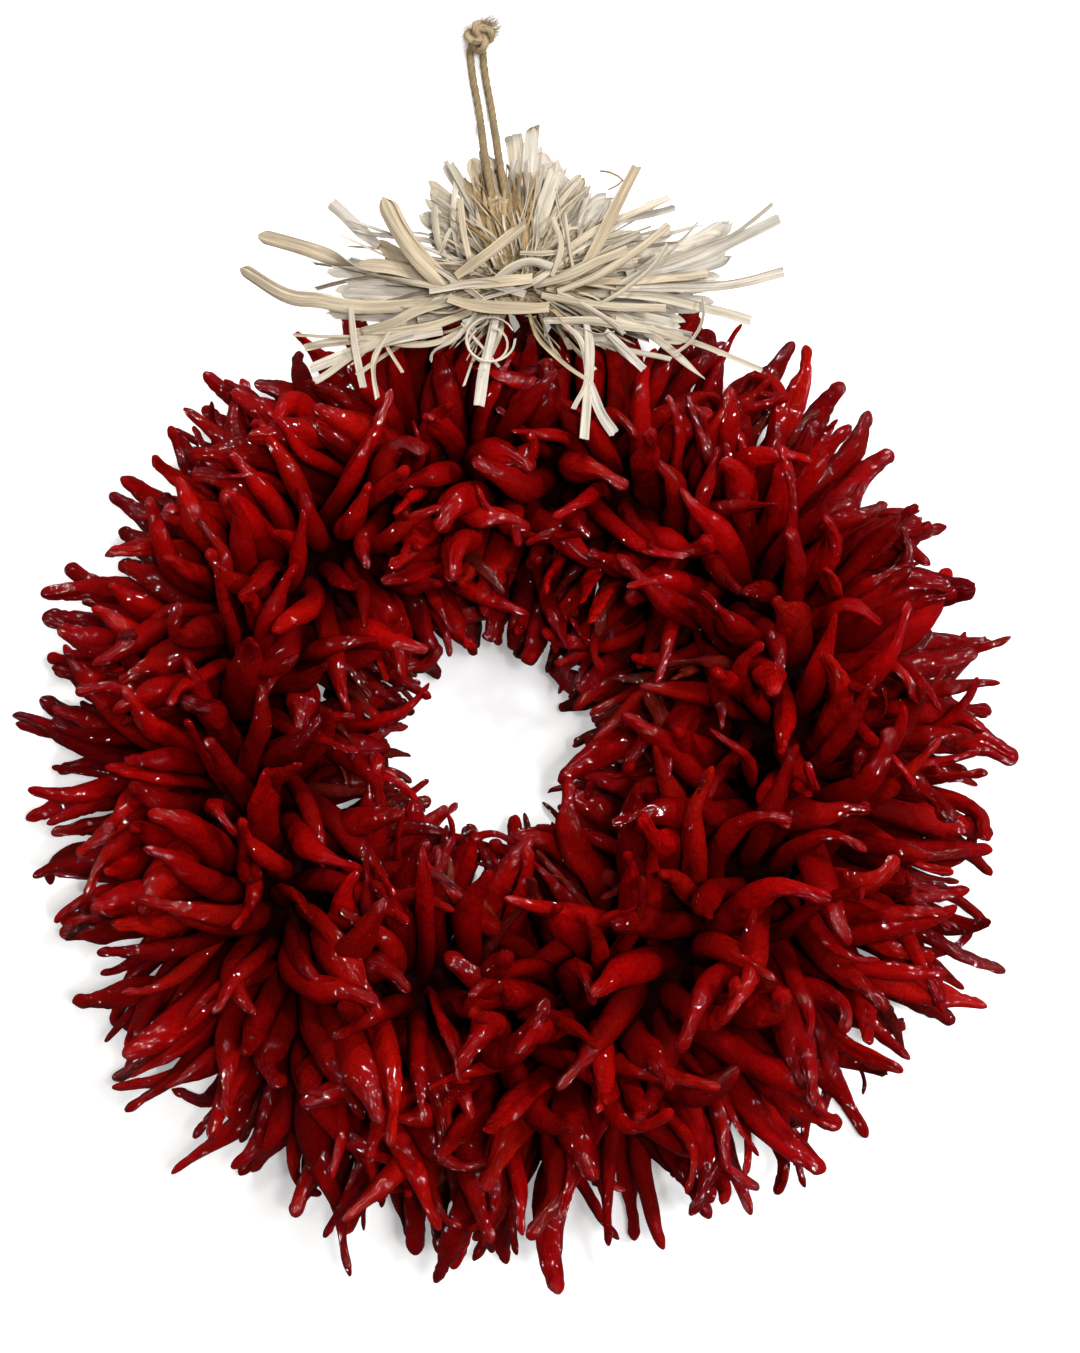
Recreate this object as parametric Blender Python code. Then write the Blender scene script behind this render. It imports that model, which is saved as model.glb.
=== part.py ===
"""Dried chili wreath with a shredded husk bow and a twine loop to hang it by.

The wreath lies on its back, as it does on a table: the shown side faces +Z and the bow is at +Y.
It is modelled at its real size in metres, with the resting surface at z = 0 and the centre of the
wreath and its bow, without the twine loop, at x = y = 0.

The chilies are tied by their stems to one wire ring and stand out from it on every side. Each one
is a chain of points that starts straight and then settles: chilies push each other apart, lie on
the table, keep out of the middle hole and stay under the bow.
"""

import math

import bmesh
import bpy
import numpy as np
from mathutils import Vector

MM = 0.001

# Where the wreath lies
HOLE_CENTRE = (-7.2 * MM, -15.5 * MM)
RING_OFFSET = (4.5 * MM, -6.5 * MM)     # the wire ring's centre, seen from the hole's
RING_RADIUS = 105 * MM
RING_HEIGHT = 24 * MM

# How far the chilies reach from the wire ring
REACH = 79 * MM
REACH_SWAY = 0.115                      # longer on the heavy side, shorter opposite
HEAVY_SIDE = math.radians(-66)
REACH_SQUARE = 0.03                     # the outline is a little square, with its corners diagonal
HOLE_RADIUS = 30 * MM
HOLE_RAGGED = 4 * MM

# One chili
STEM_START = 13 * MM                    # from the wire ring to a chili's stem end
CHAIN = 7                               # points along a chili's middle line
GIRTH = (4.6 * MM, 8.2 * MM)            # half-widths of the slimmest and the fattest
LONGEST = 78 * MM
LEAST_CLEAR = 0.4 * MM                  # between a chili and the table

# Rows of main chilies round the ring: face angle (0 outwards, 90 to the front, 180 into the hole)
# and pieces
MAIN_ROWS = ((-8, 44), (12, 40), (34, 30), (57, 24), (81, 20), (106, 15), (134, 12), (162, 13))
# Rows of the lesser chilies between them: first and last face angle, step and spacing in a row
FILL_ROWS = (-4, 186, 9, 37 * MM)
BACK_ROWS = (-164, -20, 20, 42 * MM)
MAIN_SHARE = 1.01
FILL_SHARE = 0.95
BACK_SHARE = 0.92
MAIN_SEED = 11
FILL_SEED = 23
BACK_SEED = 37

# The surface that the bow lies on: low past the rim, high over the chilies' shoulders
SEAT_LOW = 46 * MM
SEAT_HIGH = 80 * MM
SEAT_OUTER = 158 * MM                   # from the hole's centre, towards +Y
SEAT_INNER = 116 * MM
SEAT_HALF_WIDTH = 112 * MM
SEAT_END = 92 * MM                      # the seat's inner end, towards +Y


def ring_centre():
    return (HOLE_CENTRE[0] + RING_OFFSET[0], HOLE_CENTRE[1] + RING_OFFSET[1])


def local_reach(around):
    """Ring wire to tips at an angle round the ring."""
    sway = REACH_SWAY * math.cos(around - HEAVY_SIDE)
    return REACH * (1 + sway - REACH_SQUARE * math.cos(4 * around))


def seat_height(y):
    """Height of the bow's seat at a distance y beyond the hole's centre."""
    share = np.clip((SEAT_OUTER - y) / (SEAT_OUTER - SEAT_INNER), 0, 1)
    return SEAT_LOW + (SEAT_HIGH - SEAT_LOW) * share * share * (3 - 2 * share)


def girth_profile(s):
    """Half-width of a chili along its length, as a share of its greatest."""
    shoulder = np.clip(s / 0.22, 0, 1)
    taper = np.clip((s - 0.42) / 0.58, 0, 1)
    return (0.60 + 0.40 * np.sin(0.5 * np.pi * shoulder)) * (1 - 0.78 * taper ** 1.7)


def spaced_rows(first, last, step, spacing):
    """Rows at even face angles, with the pieces that fit at a spacing between their tips."""
    rows = []
    for face in range(first, last, step):
        inward = math.cos(math.radians(face))
        tips = RING_RADIUS + 0.9 * REACH * inward
        rows.append((face, round(2 * math.pi * tips / (spacing * (0.76 + 0.24 * inward)))))
    return rows


def rows_of_chilies(rows, share, seed):
    """Middle lines (n, CHAIN, 3), half-widths (n) and face angles of the chilies, unsettled."""
    rng = np.random.default_rng(seed)
    cx, cy = ring_centre()
    lines, girths, faces = [], [], []
    for face, pieces in rows:
        turn = rng.uniform(0, 1)
        front = max(0.0, math.sin(math.radians(face)))
        splay = 0.16 + 0.30 * front
        for piece in range(pieces):
            around = 2 * math.pi * (piece + turn + rng.uniform(-0.35, 0.35)) / pieces
            tilt = math.radians(face + rng.normal(0, 5 + 6 * front))
            out = np.array((math.cos(around), math.sin(around), 0.0))
            along_ring = np.array((-math.sin(around), math.cos(around), 0.0))
            rise = math.cos(tilt) * out + np.array((0.0, 0.0, math.sin(tilt)))
            bunch = 0.6 * splay * math.sin(9 * around + 2.2 * tilt)
            lean = bunch + np.clip(rng.normal(0, splay), -2 * splay, 2 * splay)
            heading = rise + lean * along_ring
            heading /= np.linalg.norm(heading)
            reach = local_reach(around) * share * (1 - 0.10 * front) * rng.normal(1, 0.055)
            length = (reach - STEM_START) * math.sqrt(1 + 0.6 * lean * lean)
            length = min(LONGEST, length * (1 + 0.06 * max(0.0, -math.cos(tilt))))
            girth = rng.uniform(*GIRTH) * (0.80 + 0.20 * min(1.0, math.cos(tilt) + 0.9 + front))
            ring = np.array((cx, cy, RING_HEIGHT)) + RING_RADIUS * out
            start = ring + STEM_START * (0.8 * rise + 0.2 * heading)
            side = np.cross(heading, rng.normal(0, 1, 3))
            side /= np.linalg.norm(side)
            bend = rng.normal(0, 0.08) * length
            steps = np.linspace(0, 1, CHAIN)[:, None]
            lines.append(start + heading * length * steps + side * bend * (4 * steps * (1 - steps)))
            girths.append(girth)
            faces.append(face)
    return np.array(lines), np.array(girths), np.array(faces)


def near_pairs(points, radii, owner, margin):
    """Index pairs of points on different chilies that are within margin of touching."""
    firsts, seconds = [], []
    for low in range(0, len(points), 400):
        block = slice(low, min(low + 400, len(points)))
        apart = np.linalg.norm(points[block, None, :] - points[None, :, :], axis=2)
        close = apart < radii[block, None] + radii[None, :] + margin
        close &= owner[block, None] < owner[None, :]
        a, b = np.nonzero(close)
        firsts.append(a + low)
        seconds.append(b)
    return np.concatenate(firsts), np.concatenate(seconds)


def push_apart(points, radii, pairs):
    """Moves points on different chilies apart where the chilies would overlap."""
    a, b = pairs
    gap = points[a] - points[b]
    apart = np.maximum(np.linalg.norm(gap, axis=1), 1e-6)
    overlap = np.clip(0.96 * (radii[a] + radii[b]) - apart, 0, None)
    move = gap * (0.35 * overlap / apart)[:, None]
    for axis in range(3):
        points[:, axis] += np.bincount(a, move[:, axis], len(points))
        points[:, axis] -= np.bincount(b, move[:, axis], len(points))


def keep_clear(points, radii, hole):
    """Keeps points off the table, out of the middle hole and under the bow's seat."""
    low = radii + LEAST_CLEAR
    points[:, 2] = np.maximum(points[:, 2], low)
    from_hole = points[:, :2] - np.array(HOLE_CENTRE)
    distance = np.maximum(np.linalg.norm(from_hole, axis=1), 1e-6)
    short = np.clip(hole + radii - distance, 0, None)
    points[:, :2] += from_hole * (short / distance)[:, None]
    beyond = points[:, 1] - HOLE_CENTRE[1]
    under = (np.abs(points[:, 0]) < SEAT_HALF_WIDTH) & (beyond > SEAT_END)
    ceiling = np.where(under, seat_height(beyond) - radii, 1.0)
    points[:, 2] = np.maximum(np.minimum(points[:, 2], ceiling), low)


def settle(lines, girths):
    """Lets the chilies push each other apart until they lie against each other."""
    count = len(lines)
    s = np.linspace(0, 1, CHAIN)
    radii = (girths[:, None] * girth_profile(s)[None, :]).ravel()
    owner = np.repeat(np.arange(count), CHAIN)
    bends = lines[:, 2:] - 2 * lines[:, 1:-1] + lines[:, :-2]
    steps = np.linalg.norm(np.diff(lines, axis=1), axis=2)
    roots = lines[:, 0].copy()
    hole = np.repeat(HOLE_RADIUS + HOLE_RAGGED * np.sin(np.arange(count) * 2.4), CHAIN)
    for turn in range(42):
        points = lines.reshape(-1, 3)
        if turn % 6 == 0:
            pairs = near_pairs(points, radii, owner, 4 * MM)
        push_apart(points, radii, pairs)
        keep_clear(points, radii, hole)
        lines[:, 1:-1] += 0.3 * (0.5 * (lines[:, 2:] + lines[:, :-2] - bends) - lines[:, 1:-1])
        lines[:, 0] += 0.5 * (roots - lines[:, 0])
        for k in range(CHAIN - 1):
            run = lines[:, k + 1] - lines[:, k]
            run *= (steps[:, k] / np.linalg.norm(run, axis=1))[:, None]
            lines[:, k + 1] = lines[:, k] + run
    keep_clear(lines.reshape(-1, 3), radii, hole)
    return lines


def chili_layout():
    """Middle lines, half-widths, face angles and the number of main chilies, which come first."""
    groups = [rows_of_chilies(*group) for group in (
        (MAIN_ROWS, MAIN_SHARE, MAIN_SEED),
        (spaced_rows(*FILL_ROWS), FILL_SHARE, FILL_SEED),
        (spaced_rows(*BACK_ROWS), BACK_SHARE, BACK_SEED))]
    lines, girths, faces = (np.concatenate(parts) for parts in zip(*groups))
    return settle(lines, girths), girths, faces, len(groups[0][0])


# The solid core that carries the chilies, as shares of the reach
CORE_OUT = 0.61
CORE_UP = 0.60
CORE_IN = 0.66
CORE_RELIEF = 0.05                      # bumps of the packed stems, in and out by turns
CORE_AROUND = 36
CORE_PROFILE = 9
CHILI_SIDES = 5
RIM_RINGS = (0, 0.42, 0.80)             # rings of a chili at the rim, from its root to its tip
FACE_RINGS = (0, 0.64)                  # and of one on the face, seen end on
RIM_ANGLE = 20
ROOT_SINK = 5 * MM                      # how deep a chili is rooted in the core

# The bow: a bundle tied at its waist, whose shreds splay to both sides and up
WAIST = (HOLE_CENTRE[0] + 8.9 * MM, HOLE_CENTRE[1] + 161.5 * MM, 57.5 * MM)
BUNDLE = ((-38, 4, 3), (-27, 12, 9), (-15, 16, 11), (-6, 10, 9), (-3.6, 7.4, 7.4), (3.6, 7.4, 7.4),
          (6, 10, 9), (15, 16, 11), (27, 13, 9), (38, 5, 3))
RIGHT_LOBE = ((18, 9, 6), (34, 15, 7), (54, 13, 5), (72, 5, 2))
LEFT_LOBE = ((18, 8, 6), (34, 11, 6), (50, 8, 4), (66, 3, 2))
FAN_LOBE = ((12.5, 22, 3.2), (22, 26, 3.2), (31, 25, 2.2), (37, 15, 1.2))
FAN_DEPTH = -7.5 * MM                   # the fan's middle, under the twine
STRIP_THICKNESS = 1.0 * MM
STRIP_CLEAR = 1.4 * MM
# Wide strips: leaves the waist at (degrees), tip direction (degrees), tip distance, width, height
# of the root over the waist, and how far the tip drops, all in mm
WIDE_STRIPS = (
    (190, 148, 60, 8.0, 6, 0), (180, 169, 100, 5.5, 2, 8), (203, 176, 105, 6.0, 5, 8),
    (10, 45, 61, 5.0, 4, 0), (215, 251, 46, 3.6, 5, 0), (330, 293, 62, 3.6, 6, 0),
    (345, 301, 67, 3.2, 5, 0), (180, 212, 70, 3.2, 4, 0), (190, 205, 84, 3.8, 6, 0),
    (5, -18, 95, 3.4, 4, 6), (0, 17, 100, 3.6, 2, 8), (-8, 2, 98, 3.4, 3, 8),
    (0, -32, 64, 4.0, 5, 0), (-35, -18, 49, 4.0, 7, 0), (150, 133, 52, 4.2, -6, 6),
    (70, 78, 66.6, 4.2, -7, 8), (45, 57, 42, 3.4, -5, 4), (12, 24, 57, 3.4, 5, 2),
)
# Strips that cross over the tie: root and tip from the waist, and the width, in mm
OVER_STRIPS = (((-29, -5), (3, 23), 5.5), ((-24, -6), (11, -9), 4.6))
OVER_HEIGHT = 13.5 * MM
# Narrow shreds: tip directions, tip distances, pieces
SHRED_GROUPS = (((163, 208), (52, 88), 6), ((-28, 32), (56, 96), 8), ((121, 143), (36, 56), 3),
                ((40, 76), (36, 60), 4), ((218, 248), (40, 58), 2), ((300, 322), (46, 66), 2))
SHRED_SEED = 5

# Twine: the tie round the waist, the hanging loop's two strands and its knot
TWINE = 3.0 * MM
TIE_GAP = 0.4 * MM
LOOP_ROUTE = ((3.3, 183.5, 56.6), (2.0, 190, 56.6), (0.8, 197, 56.5), (-0.5, 203.8, 56.0),
              (-1.5, 210, 54), (-2.2, 215.3, 49.5), (-2.7, 219.6, 42), (-3.1, 223.2, 31.5),
              (-3.5, 226.8, 20), (-4.0, 231.3, 9), (-4.7, 237, 3.3), (-5.8, 243.5, 1.9),
              (-7.1, 250.3, 1.8), (-8.0, 256.5, 1.8), (-8.5, 262, 1.8))
LOOP_SPREAD = 2.5                       # each strand's distance from the route, in mm
STRAND_POINTS = 17
KNOT_CENTRE = (-7.5, 267.5, 5.6)
KNOT_ENDS = ((2, 3, 0.6), (5, 6.6, 1.2), (8.6, 7.6, 0.4), (11.4, 4.6, -1.2))

COLOURS = {
    "chilies": ((0.105, 0.003, 0.003), 0.30),
    "husk_bow": ((0.62, 0.50, 0.36), 0.75),
    "twine": ((0.26, 0.17, 0.08), 0.90),
}


def clear_scene():
    for old in list(bpy.data.objects):
        bpy.data.objects.remove(old, do_unlink=True)


def material(name):
    """The named plain finish, made once."""
    if name in bpy.data.materials:
        return bpy.data.materials[name]
    made = bpy.data.materials.new(name)
    made.use_nodes = True
    shader = made.node_tree.nodes["Principled BSDF"]
    colour, roughness = COLOURS[name]
    shader.inputs["Base Color"].default_value = (*colour, 1)
    shader.inputs["Roughness"].default_value = roughness
    shader.inputs["Metallic"].default_value = 0
    return made


def add_mesh(name, points, faces, finish, collection=None):
    """A mesh object with its faces turned outwards."""
    mesh = bpy.data.meshes.new(name)
    mesh.from_pydata([tuple(point) for point in points], [], faces)
    bm = bmesh.new()
    bm.from_mesh(mesh)
    bmesh.ops.recalc_face_normals(bm, faces=bm.faces)
    bmesh.ops.triangulate(bm, faces=bm.faces)
    bm.to_mesh(mesh)
    bm.free()
    mesh.materials.append(material(finish))
    made = bpy.data.objects.new(name, mesh)
    (collection or bpy.context.scene.collection).objects.link(made)
    return made


def joined_rings(count, sides, closed_end=True):
    """Faces of a tube of count rings, with a cap at its start and, if asked, one at its end."""
    faces = []
    for ring in range(count - 1):
        for side in range(sides):
            a = ring * sides + side
            b = ring * sides + (side + 1) % sides
            faces.append((a, b, b + sides, a + sides))
    faces.append(tuple(range(sides)))
    if closed_end:
        faces.append(tuple(range((count - 1) * sides, count * sides)))
    return faces


def cross_frames(line):
    """Two unit vectors across a line at each of its points."""
    runs = np.gradient(line, axis=0)
    runs /= np.linalg.norm(runs, axis=1)[:, None]
    helper = np.array((0.31, 0.17, 0.93)) if abs(runs[0][2]) < 0.8 else np.array((0.93, 0.31, 0.17))
    first = np.cross(runs, helper)
    first /= np.linalg.norm(first, axis=1)[:, None]
    return first, np.cross(runs, first)


def along(line, places):
    """Points of a line at the given shares of its point count, along a smooth curve."""
    spots = np.clip(np.asarray(places), 0, 1) * (len(line) - 1)
    k = np.minimum(spots.astype(int), len(line) - 2)
    t = (spots - k)[:, None]
    padded = np.concatenate((2 * line[:1] - line[1:2], line, 2 * line[-1:] - line[-2:-1]))
    a, b, c, d = padded[k], padded[k + 1], padded[k + 2], padded[k + 3]
    curved = (2 * a - 5 * b + 4 * c - d) * t ** 2 + (3 * b - a - 3 * c + d) * t ** 3
    return 0.5 * (2 * b + (c - a) * t + curved)


def core_share(face):
    """The core's half-width in a face direction, as a share of the reach."""
    side = CORE_OUT if math.cos(face) > 0 else CORE_IN
    return math.hypot(side * math.cos(face), CORE_UP * math.sin(face))


def add_core(finish):
    """A ring with a bumpy round front, like packed stems, and a flat back."""
    cx, cy = ring_centre()
    points = []
    for turn in range(CORE_AROUND):
        around = 2 * math.pi * turn / CORE_AROUND
        reach = local_reach(around)
        for step in range(CORE_PROFILE):
            face = math.radians(-38 + 256 * step / (CORE_PROFILE - 1))
            bump = CORE_RELIEF * (1 if (turn + step) % 2 else -1)
            size = reach * core_share(face) * (1 + bump)
            radius = RING_RADIUS + size * math.cos(face)
            height = max(0.0, RING_HEIGHT + size * math.sin(face))
            if step in (0, CORE_PROFILE - 1):
                height = 0.0
            points.append((cx + radius * math.cos(around), cy + radius * math.sin(around), height))
    faces = []
    for turn in range(CORE_AROUND):
        here = turn * CORE_PROFILE
        there = (turn + 1) % CORE_AROUND * CORE_PROFILE
        for step in range(CORE_PROFILE):
            after = (step + 1) % CORE_PROFILE
            faces.append((here + step, here + after, there + after, there + step))
    return add_mesh("chilies", points, faces, finish)


def core_exit(line):
    """Share of a chili's length at which it is rooted in the core."""
    cx, cy = ring_centre()
    for share in np.linspace(0, 0.8, 33):
        x, y, z = along(line, [share])[0]
        around = math.atan2(y - cy, x - cx)
        out = math.hypot(x - cx, y - cy) - RING_RADIUS
        face = math.atan2(z - RING_HEIGHT, out)
        if math.hypot(out, z - RING_HEIGHT) > local_reach(around) * core_share(face) - ROOT_SINK:
            return share
    return None


def add_chili(name, line, girth, rings, collection):
    """One chili from where it is rooted in the core to its tip, with few sides."""
    start = core_exit(line)
    if start is None:
        return
    places = start + (1 - start) * np.array((*rings, 1.0))
    centres = along(line, places)
    across, over = cross_frames(centres)
    points = []
    for centre, a, b, place in zip(centres[:-1], across, over, places):
        radius = girth * float(girth_profile(place))
        for side in range(CHILI_SIDES):
            turn = 2 * math.pi * side / CHILI_SIDES
            points.append(centre + radius * (math.cos(turn) * a + math.sin(turn) * b))
    points.append(centres[-1])
    faces = joined_rings(len(rings), CHILI_SIDES, closed_end=False)
    tip = len(rings) * CHILI_SIDES
    last = tip - CHILI_SIDES
    for side in range(CHILI_SIDES):
        faces.append((last + side, last + (side + 1) % CHILI_SIDES, tip))
    points = np.array(points)
    points[:, 2] = np.maximum(points[:, 2], 0.25 * MM)
    add_mesh(name, points, faces, "chilies", collection)


def fuse(body, collection):
    """Joins a collection's solids to a body and keeps the one connected outer shell."""
    union = body.modifiers.new("union", "BOOLEAN")
    union.operation = "UNION"
    union.operand_type = "COLLECTION"
    union.collection = collection
    union.solver = "MANIFOLD"
    bpy.context.view_layer.update()
    graph = bpy.context.evaluated_depsgraph_get()
    fused = bpy.data.meshes.new_from_object(body.evaluated_get(graph))
    body.modifiers.clear()
    body.data = fused
    for piece in list(collection.objects):
        bpy.data.objects.remove(piece, do_unlink=True)
    bpy.data.collections.remove(collection)
    keep_outer_shell(fused)


def keep_outer_shell(mesh):
    """Drops loose scraps and the walls of sealed hollows."""
    bm = bmesh.new()
    bm.from_mesh(mesh)
    bm.verts.ensure_lookup_table()
    left = set(bm.verts)
    shells = []
    while left:
        seed = left.pop()
        shell, edge = {seed}, [seed]
        while edge:
            for link in edge.pop().link_edges:
                for vert in link.verts:
                    if vert not in shell:
                        shell.add(vert)
                        edge.append(vert)
        left -= shell
        shells.append(shell)
    biggest = max(shells, key=len)
    spare = [vert for vert in bm.verts if vert not in biggest]
    bmesh.ops.delete(bm, geom=spare, context="VERTS")
    bm.to_mesh(mesh)
    bm.free()


def new_collection(name):
    made = bpy.data.collections.new(name)
    bpy.context.scene.collection.children.link(made)
    return made


def build_chilies():
    lines, girths, faces, mains = chili_layout()
    body = add_core("chilies")
    pieces = new_collection("chili_pieces")
    for number in range(mains):
        rings = RIM_RINGS if faces[number] < RIM_ANGLE else FACE_RINGS
        add_chili(f"chili_{number}", lines[number], girths[number], rings, pieces)
    fuse(body, pieces)
    return body


def add_loft(name, sections, heading, middle, collection=None, sides=8, tilt=0.0):
    """A rounded solid whose oval sections (distance, half-width, half-thickness, mm) follow a heading."""
    ahead = np.array((math.cos(heading), math.sin(heading), tilt))
    across = np.array((-math.sin(heading), math.cos(heading), 0.0))
    points = []
    for distance, half_width, half_thick in sections:
        centre = np.array(middle) + ahead * distance * MM
        for side in range(sides):
            turn = 2 * math.pi * (side + 0.5) / sides
            points.append(centre + across * half_width * MM * math.cos(turn)
                          + np.array((0, 0, half_thick * MM * math.sin(turn))))
    return add_mesh(name, points, joined_rings(len(sections), sides), "husk_bow", collection)


def strip_line(root, control, tip, drop, pieces):
    """A strip's middle line: a plain arc that droops towards its tip."""
    t = np.linspace(0, 1, pieces + 1)[:, None]
    line = (1 - t) ** 2 * np.array(root) + 2 * t * (1 - t) * np.array(control) + t ** 2 * np.array(tip)
    line[:, 2] -= drop * t[:, 0] ** 2
    return line


def add_strip(name, line, width, lean, collection):
    """A thin flat strip that rests on the bow's seat wherever it would sink into it."""
    runs = np.gradient(line, axis=0)
    runs[:, 2] = 0
    runs /= np.linalg.norm(runs, axis=1)[:, None]
    across = np.stack((-runs[:, 1], runs[:, 0], np.full(len(runs), lean)), axis=1)
    share = np.linspace(0, 1, len(line))
    half = 0.5 * width * (0.75 + 0.25 * np.sin(np.pi * share))
    left = line + across * half[:, None]
    right = line - across * half[:, None]
    for edge in (left, right):
        floor = seat_height(edge[:, 1] - HOLE_CENTRE[1]) + STRIP_CLEAR
        edge[:, 2] = np.maximum(edge[:, 2], floor)
    lift = np.array((0, 0, STRIP_THICKNESS))
    points = []
    for a, b in zip(left, right):
        points += [a, b, b + lift, a + lift]
    return add_mesh(name, points, joined_rings(len(line), 4), "husk_bow", collection)


def polar(distance, degrees, height=0.0):
    """A point at a distance (mm) and direction from the bow's waist."""
    turn = math.radians(degrees)
    return (WAIST[0] + distance * MM * math.cos(turn), WAIST[1] + distance * MM * math.sin(turn),
            WAIST[2] + height * MM)


def build_bow():
    """The tied bundle with its wide strips and some of its shreds."""
    body = add_loft("husk_bow", BUNDLE, 0.0, WAIST, sides=10)
    pieces = new_collection("bow_pieces")
    add_loft("right_lobe", RIGHT_LOBE, math.radians(9), WAIST, pieces)
    add_loft("left_lobe", LEFT_LOBE, math.radians(177), WAIST, pieces)
    fan = (WAIST[0], WAIST[1], WAIST[2] + FAN_DEPTH)
    add_loft("fan_lobe", FAN_LOBE, math.radians(90), fan, pieces)
    for number, (leaves, points_to, distance, width, height, drop) in enumerate(WIDE_STRIPS):
        root = polar(14, leaves, height)
        control = polar(0.55 * distance, leaves, height + 2)
        tip = polar(distance, points_to, height)
        line = strip_line(root, control, tip, drop * MM, max(2, round(distance / 19)))
        add_strip(f"wide_strip_{number}", line, width * MM, 0.25 * math.sin(5 * number), pieces)
    for number, (root, tip, width) in enumerate(OVER_STRIPS):
        ends = [np.array((WAIST[0] + x * MM, WAIST[1] + y * MM, WAIST[2])) for x, y in (root, tip)]
        heights = np.array((0, 0, 7 * MM)), np.array((0, 0, OVER_HEIGHT))
        line = strip_line(ends[0] + heights[0], 0.5 * (ends[0] + ends[1]) + 1.15 * heights[1],
                          ends[1] + heights[1], 0.0, 4)
        add_strip(f"over_strip_{number}", line, width * MM, 0.0, pieces)
    add_shreds(pieces)
    fuse(body, pieces)
    return body


def add_shreds(collection):
    rng = np.random.default_rng(SHRED_SEED)
    number = 0
    for (first, last), (near, far), count in SHRED_GROUPS:
        for piece in range(count):
            points_to = first + (last - first) * (piece + rng.uniform(0.1, 0.9)) / count
            distance = rng.uniform(near, far)
            height = rng.uniform(-5, 6) if not 30 < points_to < 150 else rng.uniform(-9.5, -6.5)
            leaves = points_to + rng.uniform(-22, 22) * (0.3 if 30 < points_to < 150 else 1.0)
            line = strip_line(polar(16, leaves, height), polar(0.5 * distance, leaves, height + 2),
                              polar(distance, points_to, height), rng.uniform(0, 8) * MM, 2)
            add_strip(f"shred_{number}", line, rng.uniform(1.8, 3.0) * MM, rng.uniform(-0.5, 0.5), collection)
            number += 1


def build_tie():
    """Two turns of twine side by side round the bundle's waist."""
    inner = BUNDLE[4][1] * MM + TIE_GAP
    profile = [(0.5 * TWINE * (math.cos(turn) + side), inner + 0.5 * TWINE * (1 + math.sin(turn)))
               for side, turns in ((1, (-90, -30, 30, 90)), (-1, (90, 150, 210, 270)))
               for turn in (math.radians(degrees) for degrees in turns)]
    around = 18
    points, faces = [], []
    for step in range(around):
        turn = 2 * math.pi * step / around
        for offset, radius in profile:
            points.append((WAIST[0] + offset, WAIST[1] + radius * math.cos(turn),
                           WAIST[2] + radius * math.sin(turn)))
    count = len(profile)
    for step in range(around):
        here, there = step * count, (step + 1) % around * count
        for k in range(count):
            after = (k + 1) % count
            faces.append((here + k, here + after, there + after, there + k))
    return add_mesh("twine_tie", points, faces, "twine")


def from_hole(point, aside=0.0):
    """A point given in mm from the hole's centre, in the wreath's own metres."""
    return (HOLE_CENTRE[0] + (point[0] + aside) * MM, HOLE_CENTRE[1] + point[1] * MM, point[2] * MM)


def build_strand(name, aside):
    """One strand of the hanging loop, as a round cord along a smooth route."""
    route = np.array([from_hole(point, aside) for point in LOOP_ROUTE])
    line = along(route, np.linspace(0, 1, STRAND_POINTS))
    curve = bpy.data.curves.new(name, "CURVE")
    curve.dimensions = "3D"
    curve.bevel_depth = 0.5 * TWINE
    curve.bevel_resolution = 2
    curve.use_fill_caps = True
    spline = curve.splines.new("POLY")
    spline.points.add(STRAND_POINTS - 1)
    for point, place in zip(spline.points, line):
        point.co = (*place, 1)
    curve.materials.append(material("twine"))
    made = bpy.data.objects.new(name, curve)
    bpy.context.scene.collection.objects.link(made)
    return made


def build_knot():
    """The overhand knot: a tight lump, one turn of twine round it and the trimmed ends beyond."""
    centre = np.array(from_hole(KNOT_CENTRE))
    lump = [(-5.6, 2.4, 1.8), (-4.2, 5.2, 3.2), (0, 6.4, 4.0), (4.2, 5.6, 3.4), (6.0, 2.6, 1.8)]
    body = add_loft("loop_knot", lump, math.radians(70), centre, sides=8)
    body.data.materials.clear()
    body.data.materials.append(material("twine"))
    pieces = new_collection("knot_pieces")
    turns = []
    for step in range(9):
        turn = 2 * math.pi * step / 8 * 0.86
        bow = (6.6 * math.cos(turn), 2.2 + 2.6 * math.sin(turn), 3.6 * math.sin(turn))
        turns.append(centre + MM * np.array(bow))
    add_rope("turn", np.array(turns), 0.5 * TWINE, pieces)
    ends = centre + MM * np.array(KNOT_ENDS)
    add_rope("ends", ends, 0.62 * TWINE, pieces)
    fuse(body, pieces)
    for face in body.data.polygons:
        face.material_index = 0
    return body


def add_rope(name, line, radius, collection, sides=5):
    across, over = cross_frames(line)
    points = []
    for centre, a, b in zip(line, across, over):
        for side in range(sides):
            turn = 2 * math.pi * side / sides
            points.append(centre + radius * (math.cos(turn) * a + math.sin(turn) * b))
    return add_mesh(name, points, joined_rings(len(line), sides), "twine", collection)


def main():
    clear_scene()
    build_chilies()
    build_bow()
    build_tie()
    build_strand("loop_strand_left", -LOOP_SPREAD)
    build_strand("loop_strand_right", LOOP_SPREAD)
    build_knot()


main()
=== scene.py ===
"""Looks of the dried chili wreath: lacquered chilies, a shredded husk bow and jute twine.

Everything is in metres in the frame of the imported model. The chilies' middle lines come from the
same rules as the solid model's, so each main chili lies where its plain solid does. The others
fill the ring between them.
"""

import math

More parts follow.
